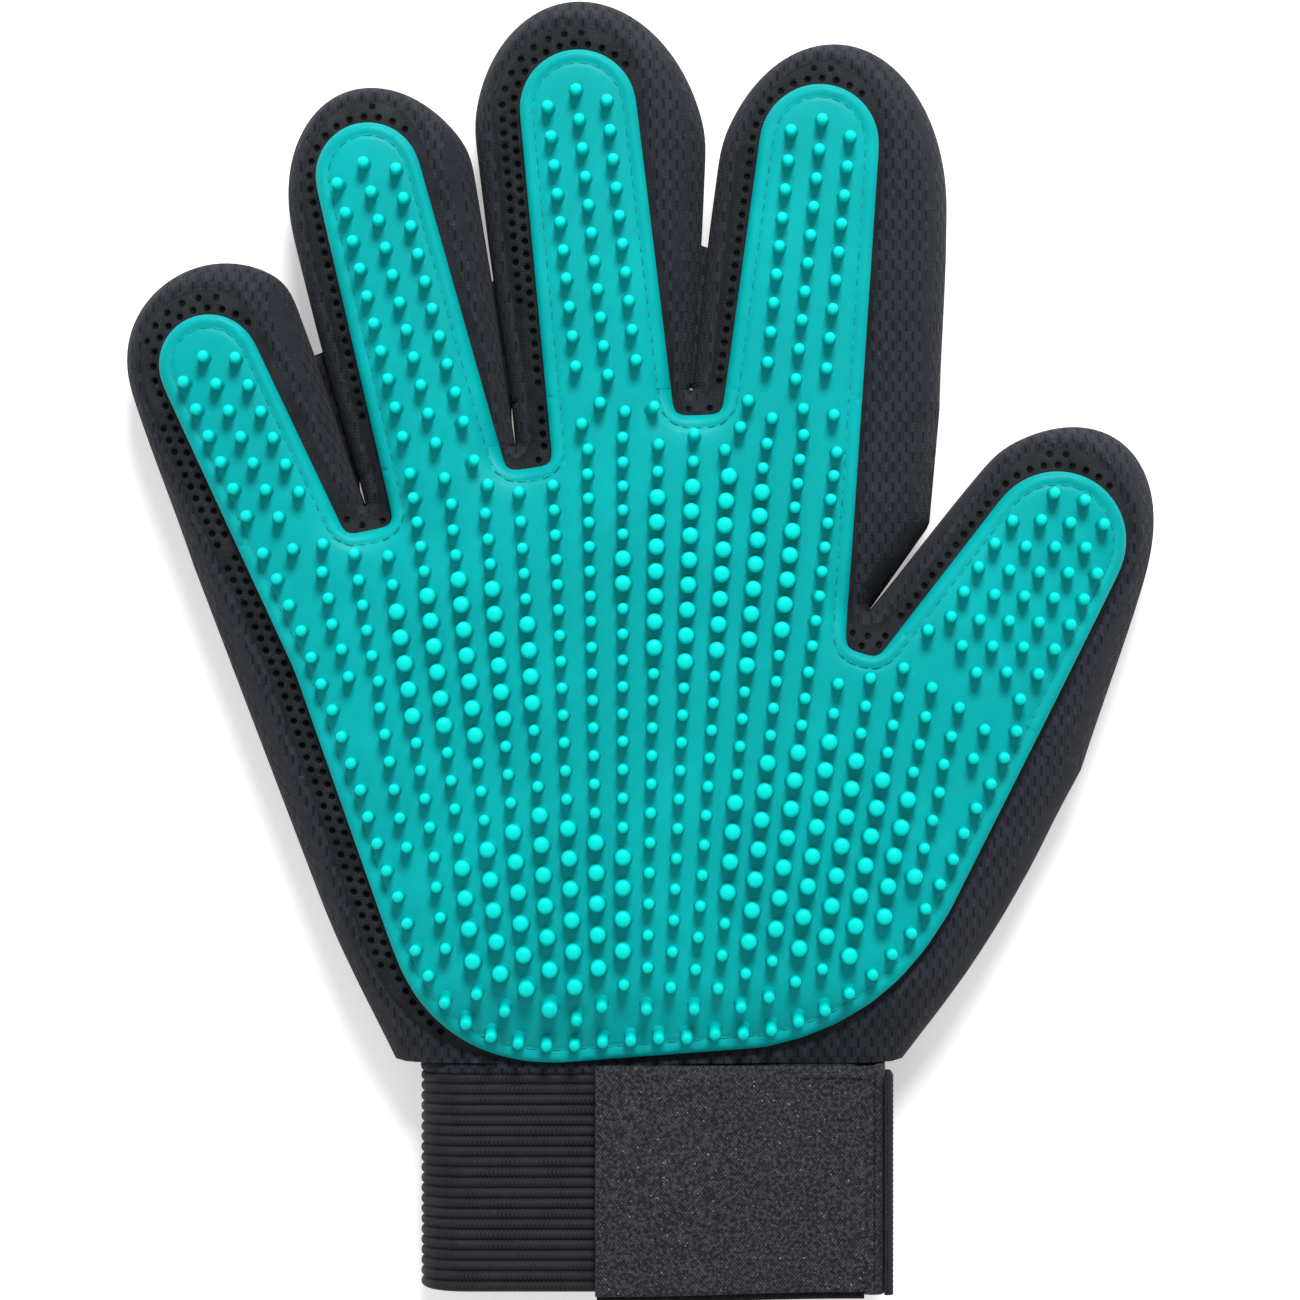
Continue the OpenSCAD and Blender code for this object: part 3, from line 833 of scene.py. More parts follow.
def knit_finish():
    f = Finish("knit_fabric", Roughness=0.9, Sheen_Weight=0.04, Sheen_Roughness=0.6,
               Specular_IOR_Level=0.12)
    place = f.object_place()
    x, y, z = split(f, place)
    facing = split(f, f.node("ShaderNodeNewGeometry").outputs["Normal"])
    side = f.vary(f.math("ABSOLUTE", facing[0]), 0.62, 0.78)
    u = f.math("ADD", f.math("MULTIPLY", x, f.math("SUBTRACT", 1.0, side)), f.math("MULTIPLY", z, side))
    wales = f.group(WALES, U=u, V=y)
    yarn = f.group(YARN, Place=place, Scale=2600.0)
    wear = f.group(WEAR, Place=place, Patch=70.0, Fleck=1300.0)
    colour = f.blend_colours(yarn.outputs["Mask"], (0.0135, 0.0155, 0.022, 1), (0.023, 0.026, 0.036, 1))
    colour = f.blend_colours(wales.outputs["Rib"], colour, (0.026, 0.029, 0.039, 1))
    colour = f.blend_colours(wales.outputs["Slit"], colour, (0.0085, 0.0095, 0.013, 1))
    colour = f.flecked(colour, wear, 0.4, (0.09, 0.095, 0.11, 1))
    f.into("Base Color", colour)
    f.worn(wear, 0.84, 0.95)
    height = f.math("SUBTRACT", wales.outputs["Rib"], f.math("MULTIPLY", wales.outputs["Slit"], 1.6))
    height = f.math("ADD", height, f.math("MULTIPLY", yarn.outputs["Height"], 0.7))
    height = f.math("ADD", height, f.math("MULTIPLY", wales.outputs["Stitch"], 0.2))
    f.bump(height, 0.55, 0.00022)
    return f.material


def air_mesh_finish():
    f = Finish("air_mesh", Roughness=0.8, Sheen_Weight=0.03, Sheen_Roughness=0.5,
               Specular_IOR_Level=0.14)
    place = f.object_place()
    x, y, _ = split(f, place)
    yarn = f.group(YARN, Place=place, Scale=1900.0)
    wear = f.group(WEAR, Place=place, Patch=80.0, Fleck=1500.0)
    braid = f.math("SINE", f.math("MULTIPLY", f.math("ADD", x, y), 2 * math.pi / 0.0007))
    cross = f.math("SINE", f.math("MULTIPLY", f.math("SUBTRACT", x, y), 2 * math.pi / 0.0007))
    twist = f.math("MULTIPLY", braid, cross)
    colour = f.blend_colours(yarn.outputs["Mask"], (0.013, 0.016, 0.019, 1), (0.03, 0.034, 0.04, 1))
    colour = f.blend_colours(f.vary(twist, -0.6, 0.8), (0.01, 0.012, 0.014, 1), colour)
    colour = f.flecked(colour, wear, 0.35, (0.1, 0.11, 0.12, 1))
    f.into("Base Color", colour)
    f.worn(wear, 0.72, 0.88)
    f.bump(f.math("ADD", f.math("MULTIPLY", twist, 0.5), yarn.outputs["Height"]), 0.6, 0.00018)
    return f.material


def painted_hole_shade_finish():
    """Painted shade: a near-black floor at the bottom of the holes of the air mesh, standing in for the
    shadow inside each hole.
    """
    f = Finish("painted_hole_shade", Roughness=0.95, Specular_IOR_Level=0.1)
    yarn = f.group(YARN, Place=f.object_place(), Scale=2400.0)
    # Painted shade: near-black yarn colours, far darker than the air mesh, stand in for the shadow at the
    # bottom of each hole.
    colour = f.blend_colours(yarn.outputs["Mask"], (0.002, 0.002, 0.003, 1), (0.006, 0.007, 0.008, 1))
    f.into("Base Color", colour)
    f.bump(yarn.outputs["Height"], 0.4, 0.0002)
    return f.material


def silicone_finish():
    f = Finish("moulded_silicone", Roughness=0.5, Specular_IOR_Level=0.1)
    place = f.object_place()
    wear = f.group(WEAR, Place=place, Patch=55.0, Fleck=1100.0)
    skin = f.noise(place, 5200.0, 2.0)
    # Painted highlight: the nubs' rise attribute (their height along the profile) mixes a paler teal into
    # their upper parts, standing in for the light that the nub tops catch. The sheet has no rise, so it keeps
    # the patchy base colour.
    rise = f.node("ShaderNodeAttribute", attribute_name="rise").outputs["Fac"]
    colour = f.blend_colours(wear.outputs["Patches"], (0.0, 0.365, 0.37, 1), (0.0, 0.42, 0.425, 1))
    # Painted highlight: paler teal towards the nub tips.
    colour = f.blend_colours(f.vary(rise, 0.25, 0.98), colour, (0.0, 0.74, 0.68, 1))
    colour = f.flecked(colour, wear, 0.15, (0.05, 0.6, 0.58, 1))
    f.into("Base Color", colour)
    f.into("Roughness", f.vary(skin, 0.3, 0.7, 0.38, 0.52))
    f.bump(skin, 0.12, 0.00006)
    return f.material


def thread_finish(name, dark, light):
    f = Finish(name, Roughness=0.6, Sheen_Weight=0.05, Sheen_Roughness=0.4, Specular_IOR_Level=0.2)
    place = f.object_place()
    x, y, _ = split(f, place)
    yarn = f.group(YARN, Place=place, Scale=4200.0)
    ply = f.math("SINE", f.math("MULTIPLY", f.math("ADD", x, y), 2 * math.pi / 0.00035))
    share = f.math("MULTIPLY", f.vary(ply, -0.8, 0.8), yarn.outputs["Mask"])
    f.into("Base Color", f.blend_colours(share, dark, light))
    f.bump(ply, 0.5, 0.00008)
    return f.material


def elastic_finish():
    f = Finish("elastic_webbing", Roughness=0.72, Sheen_Weight=0.03, Sheen_Roughness=0.4,
               Specular_IOR_Level=0.14)
    place = f.object_place()
    x, y, z = split(f, place)
    yarn = f.group(YARN, Place=place, Scale=2300.0)
    wear = f.group(WEAR, Place=place, Patch=60.0, Fleck=1500.0)
    rib = f.vary(f.math("SINE", f.math("MULTIPLY", f.math("ADD", x, z), 2 * math.pi / 0.00075)), -0.7, 0.7)
    colour = f.blend_colours(yarn.outputs["Mask"], (0.009, 0.0095, 0.012, 1), (0.017, 0.018, 0.023, 1))
    colour = f.blend_colours(rib, colour, (0.021, 0.022, 0.028, 1))
    colour = f.flecked(colour, wear, 0.3, (0.08, 0.08, 0.09, 1))
    f.into("Base Color", colour)
    f.worn(wear, 0.62, 0.8)
    f.bump(f.math("ADD", rib, yarn.outputs["Height"]), 0.45, 0.00012)
    return f.material


def tape_finish(name, dark, light, fleck, fleck_share, scale):
    """Woven closure tape: a close napped weave with paler flecks."""
    f = Finish(name, Roughness=0.85, Sheen_Weight=0.06, Sheen_Roughness=0.5, Specular_IOR_Level=0.15)
    place = f.object_place()
    x, y, _ = split(f, place)
    yarn = f.group(YARN, Place=place, Scale=scale)
    wear = f.group(WEAR, Place=place, Patch=90.0, Fleck=1900.0)
    warp = f.math("SINE", f.math("MULTIPLY", x, 2 * math.pi / 0.00062))
    weft = f.math("SINE", f.math("MULTIPLY", y, 2 * math.pi / 0.0008))
    weave = f.vary(f.math("MULTIPLY", warp, weft), -0.5, 0.5)
    napped = f.vary(f.noise(place, scale * 0.6, 3.0, 0.7), 0.38, 0.66)
    colour = f.blend_colours(napped, dark, light)
    colour = f.blend_colours(f.math("MULTIPLY", weave, 0.5), colour, dark)
    colour = f.flecked(colour, wear, fleck_share, fleck)
    f.into("Base Color", colour)
    f.worn(wear, 0.76, 0.92)
    height = f.math("ADD", f.math("MULTIPLY", yarn.outputs["Height"], 1.2), weave)
    f.bump(height, 0.6, 0.00022)
    return f.material


KNIT = knit_finish()
AIR_MESH = air_mesh_finish()
PAINTED_HOLE_SHADE = painted_hole_shade_finish()
SILICONE = silicone_finish()
SEWING = thread_finish("sewing_thread", (0.0, 0.27, 0.27, 1), (0.02, 0.5, 0.48, 1))
BLACK_THREAD = thread_finish("black_thread", (0.006, 0.006, 0.007, 1), (0.03, 0.031, 0.035, 1))
ELASTIC = elastic_finish()
TAB_TAPE = tape_finish("tab_tape", (0.012, 0.013, 0.017, 1), (0.075, 0.076, 0.088, 1),
                       (0.3, 0.3, 0.32, 1), 0.9, 2600.0)
LOOP_TAPE = tape_finish("loop_fabric", (0.008, 0.008, 0.01, 1), (0.03, 0.03, 0.034, 1),
                        (0.08, 0.08, 0.09, 1), 0.4, 1300.0)
HOOK_TAPE = tape_finish("hook_tape", (0.006, 0.006, 0.007, 1), (0.018, 0.018, 0.02, 1),
                        (0.05, 0.05, 0.055, 1), 0.3, 2200.0)

# ---- fabric pieces ----

CLOTH = 1.1  # thickness of the cloth walls


def follow_knuckle(obj, part):
    """A palm piece rides on the palm. A finger's piece stays where it is built, with its place baked into the
    mesh.
    """
    if part == "palm":
        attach(obj, "palm")
        return
    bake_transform(obj)


for number, part in enumerate(PARTS):
    for kind, chosen, materials, slot_name in (
        ("knit", ~skin_mesh, [KNIT], "knit_fabric"),
        # The air mesh's second slot is the painted hole shade, on the floors of its holes.
        ("mesh", skin_mesh, [AIR_MESH, PAINTED_HOLE_SHADE], "air_mesh"),
    ):
        ours = (skin_part == number) & chosen
        points, faces, normals, marks = shell(
            skin_points, skin_faces[ours], skin_normals, CLOTH, skin_hole[ours].astype(int))
        cloth = make_object(f"{part}_{kind}_cloth", points, faces, materials, marks, normals)
        follow_knuckle(cloth, part)
        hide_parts(f"{part}_{kind}")

# ---- moulded pad ----

PAD_ROUND = 0.7  # radius of the pad's upper edge
STITCH_INSET = 2.35
GROOVE, GROOVE_WIDE = 0.28, 0.45  # furrow that the stitches pull into the pad
RIM_HIGH, RIM_AWAY, RIM_WIDE = 0.12, 1.1, 0.6  # slight roll outside the furrow
PAD_SUNK = 0.25  # how far the pad reaches into the fabric


def smooth_fabric_height(points):
    """The fabric under the pad, without its seams."""
    return crowned(points, distance(points, free_edges), SIDE_ROUND)


def pad_top(points):
    inset = distance(points, [pad_path])
    lip = PAD_ROUND * (1 - quarter_round(inset, PAD_ROUND))
    groove = GROOVE * np.exp(-((inset - STITCH_INSET) / GROOVE_WIDE)**2)
    border = RIM_HIGH * np.exp(-((inset - RIM_AWAY) / RIM_WIDE)**2)
    return smooth_fabric_height(points) + PAD_THICK - lip - groove + border


def fill_pad():
    sketch = Sketch().line(pad_edge, True)
    for finger in FINGERS:
        sketch.line(spaced(knuckle_paths[finger], KNUCKLE_STEP))
    normals = outward(pad_edge, True)
    for inset in (0.1, 0.3, 0.62, 1.1, 1.6, STITCH_INSET - 0.4, STITCH_INSET, STITCH_INSET + 0.4, 3.4):
        moved = pad_edge - normals * inset
        moved = moved[distance(moved, [pad_path]) > inset * 0.97]
        sketch.dots(moved, min(0.3, inset * 0.8))
    sketch.dots(lattice(pad_edge.min(0), pad_edge.max(0), 2.0), 1.2)
    points, tris = sketch.fill()
    centres = points[tris].mean(1)
    part = np.where(inside(centres, pad_edge), owner(centres), -1)
    return points, facing_up(points, tris[part >= 0], True), part[part >= 0]


pad_points, pad_tris, pad_part = fill_pad()
pad_z = pad_top(pad_points)
pad_low = smooth_fabric_height(pad_points) - PAD_SUNK
pad_top_points = np.column_stack([pad_points, pad_z])
pad_normals = point_normals(pad_top_points, pad_tris)
for number, part in enumerate(PARTS):
    ours = pad_tris[pad_part == number]
    used, index = np.unique(ours, return_inverse=True)
    faces = index.reshape(-1, 3)
    count = len(used)
    points = np.vstack([pad_top_points[used], np.column_stack([pad_points[used], pad_low[used]])])
    walls = [(b, a, a + count, b + count) for a, b in open_edges(faces.tolist())]
    quads = [tuple(f) for f in faces] + [tuple(f[::-1] + count) for f in faces] + walls
    sheet = make_object(f"{part}_pad_sheet", points, quads, [SILICONE])
    corner = [tuple(pad_normals[used][k]) for f in faces for k in f]
    corner += [(0.0, 0.0, -1.0)] * (3 * len(faces))
    for a, b, _, _ in walls:
        run = pad_points[used][a] - pad_points[used][b]
        flat = np.array([-run[1], run[0]]) / max(np.hypot(*run), 1e-9)
        flat = tuple(-flat) + (0.0,)
        corner += [flat] * 4
    sheet.data.normals_split_custom_set(corner)
    follow_knuckle(sheet, part)
    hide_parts(f"{part}_pad")

# ---- repeated small shapes ----


def lathed(name, profile, sides, material):
    """A shape turned round Z from (radius, height) pairs, closed at its ends."""
    points, faces = [], []
    for radius, height in profile:
        for k in range(sides):
            angle = 2 * math.pi * k / sides
            points.append((radius * math.cos(angle), radius * math.sin(angle), height))
    for ring in range(len(profile) - 1):
        for k in range(sides):
            a, b = ring * sides + k, ring * sides + (k + 1) % sides
            faces.append((a, b, b + sides, a + sides))
    faces.append(tuple(range(sides - 1, -1, -1)))
    last = (len(profile) - 1) * sides
    faces.append(tuple(range(last, last + sides)))
    obj = make_object(name, np.array(points) / MM, faces, [material])
    # The rise attribute is each point's height along the profile; the silicone uses it to paint a highlight
    # on the nub tips.
    rise = obj.data.attributes.new("rise", "FLOAT", "POINT")
    rise.data.foreach_set("value", np.repeat([height for _, height in profile], sides).astype(np.float32))
    return obj


def scatter_tree():
    """Places one shape on every point, sized and turned by the point's own values."""
    tree = bpy.data.node_groups.new("set_in_place", "GeometryNodeTree")
    face = tree.interface
    face.new_socket("Geometry", in_out="INPUT", socket_type="NodeSocketGeometry")
    face.new_socket("Shape", in_out="INPUT", socket_type="NodeSocketObject")
    face.new_socket("Size", in_out="INPUT", socket_type="NodeSocketVector")
    face.new_socket("Material", in_out="INPUT", socket_type="NodeSocketMaterial")
    face.new_socket("Geometry", in_out="OUTPUT", socket_type="NodeSocketGeometry")
    new, link = tree.nodes.new, tree.links.new
    given, result = new("NodeGroupInput"), new("NodeGroupOutput")
    shape = new("GeometryNodeObjectInfo")
    turn = new("GeometryNodeInputNamedAttribute")
    turn.data_type = "FLOAT_VECTOR"
    turn.inputs["Name"].default_value = "turn"
    to_rotation = new("FunctionNodeEulerToRotation")
    girth = new("GeometryNodeInputNamedAttribute")
    girth.data_type = "FLOAT_VECTOR"
    girth.inputs["Name"].default_value = "girth"
    scale = new("ShaderNodeVectorMath")
    scale.operation = "MULTIPLY"
    place = new("GeometryNodeInstanceOnPoints")
    realize = new("GeometryNodeRealizeInstances")
    finish = new("GeometryNodeSetMaterial")
    link(given.outputs["Shape"], shape.inputs["Object"])
    link(given.outputs["Geometry"], place.inputs["Points"])
    link(shape.outputs["Geometry"], place.inputs["Instance"])
    link(turn.outputs["Attribute"], to_rotation.inputs[0])
    link(to_rotation.outputs[0], place.inputs["Rotation"])
    link(girth.outputs["Attribute"], scale.inputs[0])
    link(given.outputs["Size"], scale.inputs[1])
    link(scale.outputs[0], place.inputs["Scale"])
    link(place.outputs["Instances"], realize.inputs[0])
    link(realize.outputs[0], finish.inputs["Geometry"])
    link(given.outputs["Material"], finish.inputs["Material"])
    link(finish.outputs[0], result.inputs[0])
    return tree


SCATTER = scatter_tree()


def scatter(name, shape, points, ups, aheads, girths, size, material):
    """Copies of a shape, each with its Z along an up and its Y along an ahead."""
    turns = []
    for up, ahead in zip(ups, aheads):
        z = Vector(up).normalized()
        x = Vector(ahead).cross(z).normalized()
        y = z.cross(x)
        turns.append(Matrix((x, y, z)).transposed().to_euler())
    mesh = bpy.data.meshes.new(name + "_points")
    mesh.from_pydata((np.asarray(points) * MM).tolist(), [], [])
    for label, values in (("turn", np.array(turns)), ("girth", np.array(girths))):
        layer = mesh.attributes.new(label, "FLOAT_VECTOR", "POINT")
        layer.data.foreach_set("vector", values.astype(np.float32).ravel())
    holder = bpy.data.objects.new(name + "_points", mesh)
    bpy.context.scene.collection.objects.link(holder)
    modifier = holder.modifiers.new("set_in_place", "NODES")
    modifier.node_group = SCATTER
    sockets = {i.name: i.identifier for i in SCATTER.interface.items_tree if i.in_out == "INPUT"}
    modifier[sockets["Shape"]] = shape
    modifier[sockets["Size"]] = size
    modifier[sockets["Material"]] = material
    bpy.context.view_layer.update()
    made = bpy.data.meshes.new_from_object(holder.evaluated_get(bpy.context.evaluated_depsgraph_get()))
    made.name = name
    for label in ("turn", "girth"):
        if made.attributes.get(label):
            made.attributes.remove(made.attributes[label])
    made.polygons.foreach_set("use_smooth", [True] * len(made.polygons))
    obj = bpy.data.objects.new(name, made)
    bpy.context.scene.collection.objects.link(obj)
    bpy.data.objects.remove(holder)
    return obj


def top_discs(node):
    """Middle and radius of every nub's flat end on a CAD pad."""
    corners = level_faces(node, NUB_TOP).reshape(-1, 2)
    tree = tree_of(corners)
    free = np.ones(len(corners), bool)
    found = []
    for k in range(len(corners)):
        if not free[k]:
            continue
        near = [hit[1] for hit in tree.find_range((*corners[k], 0), 3.1) if free[hit[1]]]
        near = grow_disc(corners, near, k)
        free[near] = False
        rim = corners[near]
        middle = (rim.min(0) + rim.max(0)) / 2
        found.append((middle[0], middle[1], np.hypot(*(rim - middle).T).max()))
    return np.array(found)


def grow_disc(corners, near, first):
    """The corners in near that connect to the first one by steps of at most 0.6 mm."""
    near = np.array(near)
    reached = {first}
    edge = [first]
    while edge:
        here = edge.pop()
        gap = np.hypot(*(corners[near] - corners[here]).T)
        for k in near[gap < 0.6]:
            if k not in reached:
                reached.add(k)
                edge.append(k)
    return np.array(sorted(reached))


FOOT_OVER_TOP = 1 / 0.78
NUB_PROFILE = [(0.72, -0.12), (0.63, 0.0), (0.56, 0.05), (0.52, 0.14), (0.5, 0.5),
               (0.485, 0.82), (0.44, 0.93), (0.3, 0.995), (0.1, 1.02)]


def surface_normals(points, height, step=0.4):
    """Upward unit normals of a height over flat points."""
    dx = height(points + [step, 0]) - height(points - [step, 0])
    dy = height(points + [0, step]) - height(points - [0, step])
    normals = np.column_stack([-dx, -dy, np.full(len(points), 2 * step)])
    return normals / np.linalg.norm(normals, axis=1)[:, None]


NUB_EDGE = 4.0  # least distance from a nub's middle to the pad's edge
NUB_ROOM = 4.5  # least distance between nubs where one more is set
NUB_SPREAD = 5.6  # nubs nearer to each other than this move apart
NUB_PUSH = 0.12  # share of what is missing that each round makes up
NUB_SHIFT = 1.2  # how far a nub may move from its place
NUB_FROM_KNUCKLE = 2.0


def gaps(a, b):
    return np.hypot(a[:, None, 0] - b[None, :, 0], a[:, None, 1] - b[None, :, 1])


def nub_room(places):
    """Which places are far enough from the pad's edge and from the knuckle lines."""
    clear = distance(places, [pad_path]) > NUB_EDGE
    return clear & (distance(places, list(knuckle_paths.values())) > NUB_FROM_KNUCKLE)


def more_nubs(places, radii):
    """Adds nubs where the rows leave room, each as near to its neighbours as it may be."""
    spots = lattice(pad_edge.min(0), pad_edge.max(0), 1.1)
    spots = spots[inside(spots, pad_edge)]
    spots = spots[nub_room(spots)]
    away = gaps(spots, places).min(1)
    while (away > NUB_ROOM).any():
        k = np.argmin(np.where(away > NUB_ROOM, away, np.inf))
        radii = np.append(radii, radii[gaps(spots[k:k + 1], places).argmin()])
        places = np.vstack([places, spots[k]])
        away = np.minimum(away, gaps(spots, spots[k:k + 1])[:, 0])
    return places, radii


def spread(places, rounds=14):
    """Nubs moved apart a little until they stand at even distances."""
    first = places.copy()
    for _ in range(rounds):
        gap = gaps(places, places) + 99 * np.eye(len(places))
        push = np.clip(NUB_SPREAD - gap, 0, None) * NUB_PUSH / gap
        moved = places + ((places[:, None] - places[None]) * push[:, :, None]).sum(1)
        gone = np.maximum(np.hypot(*(moved - first).T), 1e-9)[:, None]
        moved = first + (moved - first) * np.minimum(1, NUB_SHIFT / gone)
        held = ~nub_room(moved)
        moved[held] = places[held]
        places = moved
    return places


nub_shape = lathed("nub_shape", NUB_PROFILE, 14, SILICONE)
discs = np.vstack([top_discs(part + "_pad") for part in PARTS])
nub_places, nub_radii = more_nubs(discs[:, :2], discs[:, 2])
nub_places = spread(nub_places)
nub_part = owner(nub_places)
for number, part in enumerate(PARTS):
    ours = nub_part == number
    places = nub_places[ours]
    lift = smooth_fabric_height(places) + PAD_THICK
    ups = surface_normals(places, smooth_fabric_height)
    foot = nub_radii[ours] * 2 * FOOT_OVER_TOP
    girth = np.column_stack([foot, foot, np.full(len(foot), NUB_HEIGHT)])
    nubs = scatter(f"{part}_nubs", nub_shape, np.column_stack([places, lift]), ups,
                   [(0, 1, 0)] * len(places), girth, (MM, MM, MM), SILICONE)
    follow_knuckle(nubs, part)

STITCH_PITCH = 2.3
STITCH_PROFILE = [(0.06, -0.5), (0.16, -0.42), (0.22, -0.2), (0.24, 0.0),
                  (0.22, 0.2), (0.16, 0.42), (0.06, 0.5)]
stitch_shape = lathed("stitch_shape", STITCH_PROFILE, 6, SEWING)
stitch_line = pad_edge - outward(relaxed(pad_edge, 4, True), True) * STITCH_INSET
stitch_line = relaxed(stitch_line[distance(stitch_line, [pad_path]) > STITCH_INSET * 0.95], 3, True)
stitch_line = spaced(stitch_line, STITCH_PITCH, True)
stitch_run = np.roll(stitch_line, -1, 0) - np.roll(stitch_line, 1, 0)
stitch_part = owner(stitch_line)
for number, part in enumerate(PARTS):
    ours = stitch_part == number
    places = stitch_line[ours]
    run = np.column_stack([stitch_run[ours], np.zeros(ours.sum())])
    rows = np.column_stack([places, pad_top(places) + 0.02])
    girth = np.tile([0.75, 0.75, 1.65], (len(rows), 1))
    ups = surface_normals(places, smooth_fabric_height)
    stitches = scatter(f"{part}_stitches", stitch_shape, rows, run, ups, girth, (MM, MM, MM), SEWING)
    follow_knuckle(stitches, part)
    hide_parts(f"{part}_thread")

# ---- cuff ----

CUFF_LEFT, CUFF_RIGHT = CUFF_LOW[0], CUFF_HIGH[0]
CUFF_END_Y, CUFF_TOP_Y = CUFF_LOW[1], CUFF_HIGH[1]
CUFF_WALL = 1.6
RIB_COUNT = 21


def oval(inset, steps=26):
    """Cross-section of the flattened cuff as (x, z), counter-clockwise seen from the open end."""
    radius = CUFF_HEIGHT / 2 - inset
    left, right = CUFF_LEFT + CUFF_HEIGHT / 2, CUFF_RIGHT - CUFF_HEIGHT / 2
    middle = CUFF_HEIGHT / 2
    turn = np.linspace(-math.pi / 2, math.pi / 2, steps)
    round_right = np.column_stack([right + radius * np.cos(turn), middle + radius * np.sin(turn)])
    round_left = np.column_stack([left - radius * np.cos(turn), middle - radius * np.sin(turn)])
    flat = np.linspace(right, left, 30)[1:-1]
    top = np.column_stack([flat, np.full(len(flat), middle + radius)])
    bottom = np.column_stack([flat[::-1], np.full(len(flat), middle - radius)])
    return np.vstack([round_right, top, round_left, bottom])


def swept(name, rings, material, closed=True):
    """A skin over rings of points, one after the other. Closed ones meet at the ends as a tube."""
    points = np.vstack(rings)
    count, turns = len(rings[0]), len(rings)
    faces = []
    for row in range(turns if closed else turns - 1):
        for k in range(count):
            a, b = row * count + k, row * count + (k + 1) % count
            c, d = ((row + 1) % turns) * count + (k + 1) % count, ((row + 1) % turns) * count + k
            faces.append((a, b, c, d))
    if not closed:
        faces.append(tuple(range(count - 1, -1, -1)))
        faces.append(tuple(range((turns - 1) * count, turns * count)))
    obj = make_object(name, points, faces, [material])
    shape = bmesh.new()
    shape.from_mesh(obj.data)
    bmesh.ops.recalc_face_normals(shape, faces=shape.faces)
    shape.to_mesh(obj.data)
    shape.free()
    return obj


def at_y(ring, y):
    return np.column_stack([ring[:, 0], np.full(len(ring), y), ring[:, 1]])


def cuff_rings():
    rib = (CUFF_TOP_Y - CUFF_END_Y) / RIB_COUNT
    rings = []
    for k in range(RIB_COUNT):
        for share, rise in ((0.0, 0.62), (0.1, 0.3), (0.26, 0.02), (0.5, -0.08), (0.74, 0.02), (0.9, 0.3)):
            rings.append(at_y(oval(rise + 0.02), CUFF_END_Y + (k + share) * rib))
    rings.append(at_y(oval(0.62), CUFF_TOP_Y))
    for k in range(RIB_COUNT, -1, -1):
        rings.append(at_y(oval(CUFF_WALL - 0.12 * (k % 2)), CUFF_END_Y + k * rib))
    return rings


cuff = swept("cuff_elastic_band", cuff_rings(), ELASTIC)
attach(cuff, "palm")
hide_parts("cuff_elastic")

SEAM_BULGE = [(0.0, 0.25), (0.3, -0.02), (0.8, -0.14), (1.3, -0.08), (1.75, 0.1), (2.1, 0.5)]
seam_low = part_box("wrist_seam")[0].y / MM
seam_rings = [at_y(oval(rise), seam_low + share) for share, rise in SEAM_BULGE]
seam_rings += [at_y(oval(CUFF_WALL + 1.0), seam_low + share) for share in (2.1, 1.0, 0.0)]
wrist = swept("wrist_seam_fold", seam_rings, KNIT)
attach(wrist, "palm")
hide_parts("wrist_seam")

# ---- gussets between the fingers ----

GUSSET_RUN = 26.0
GUSSET_TUCK = 0.6  # how far a gusset's sides are sewn into the two fingers
GUSSET_FOOT = 7.0  # a gusset is at least this long, however far apart the roots are
GUSSET_WIDEST = 3.0
GUSSET_THICK = 0.8

for finger, neighbour in zip(FINGERS[:3], FINGERS[1:4]):
    foot = (root_right[finger] + root_left[neighbour]) / 2
    ahead = KNUCKLE[finger].ahead + KNUCKLE[neighbour].ahead
    ahead = ahead / np.hypot(*ahead)
    rings = []
    for run in np.linspace(0.3, GUSSET_RUN, 16):
        spot = foot + ahead * run
        sides = [path[np.hypot(*(path - spot).T).argmin()] for path in
                 (spaced(finger_edge[finger], 0.3), spaced(finger_edge[neighbour], 0.3))]
        across = sides[1] - sides[0]
        wide = np.hypot(*across)
        if wide > GUSSET_WIDEST and run > GUSSET_FOOT:
            break
        tuck = across / max(wide, 0.2) * GUSSET_TUCK
        left, right = sides[0] - tuck, sides[1] + tuck
        low, high = (BODY_HEIGHT - GUSSET_THICK) / 2, (BODY_HEIGHT + GUSSET_THICK) / 2
        rings.append(np.array([(*left, low), (*right, low), (*right, high), (*left, high)]))
    gusset = swept(f"{finger}_gusset", rings, KNIT, closed=False)
    follow_knuckle(gusset, finger)

# ---- closure tab ----

FLAP_LOW, FLAP_HIGH = [np.array(corner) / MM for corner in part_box("tab_flap")]
HOOK_LOW, HOOK_HIGH = [np.array(corner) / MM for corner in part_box("tab_hooks")]
PATCH_LOW, PATCH_HIGH = [np.array(corner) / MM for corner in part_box("loop_patch")]
SEWN_HIGH = np.array(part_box("tab_sewn_end")[1]) / MM
BINDING_LOW, BINDING_HIGH = [np.array(corner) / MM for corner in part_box("cuff_binding")]
CLOSURE = next(j for j in frame["joints"] if j["child"] == "closure_tab")
HINGE_X = CLOSURE["pos_m"][0] / MM
UNDER_SHOWS = 1.3  # how far the hook layer shows past the tape's lower edge
LOW_SELVAGE, TOP_SELVAGE = 3.4, 1.7
TILT = 0.9  # how much lower the free corner of the tape hangs


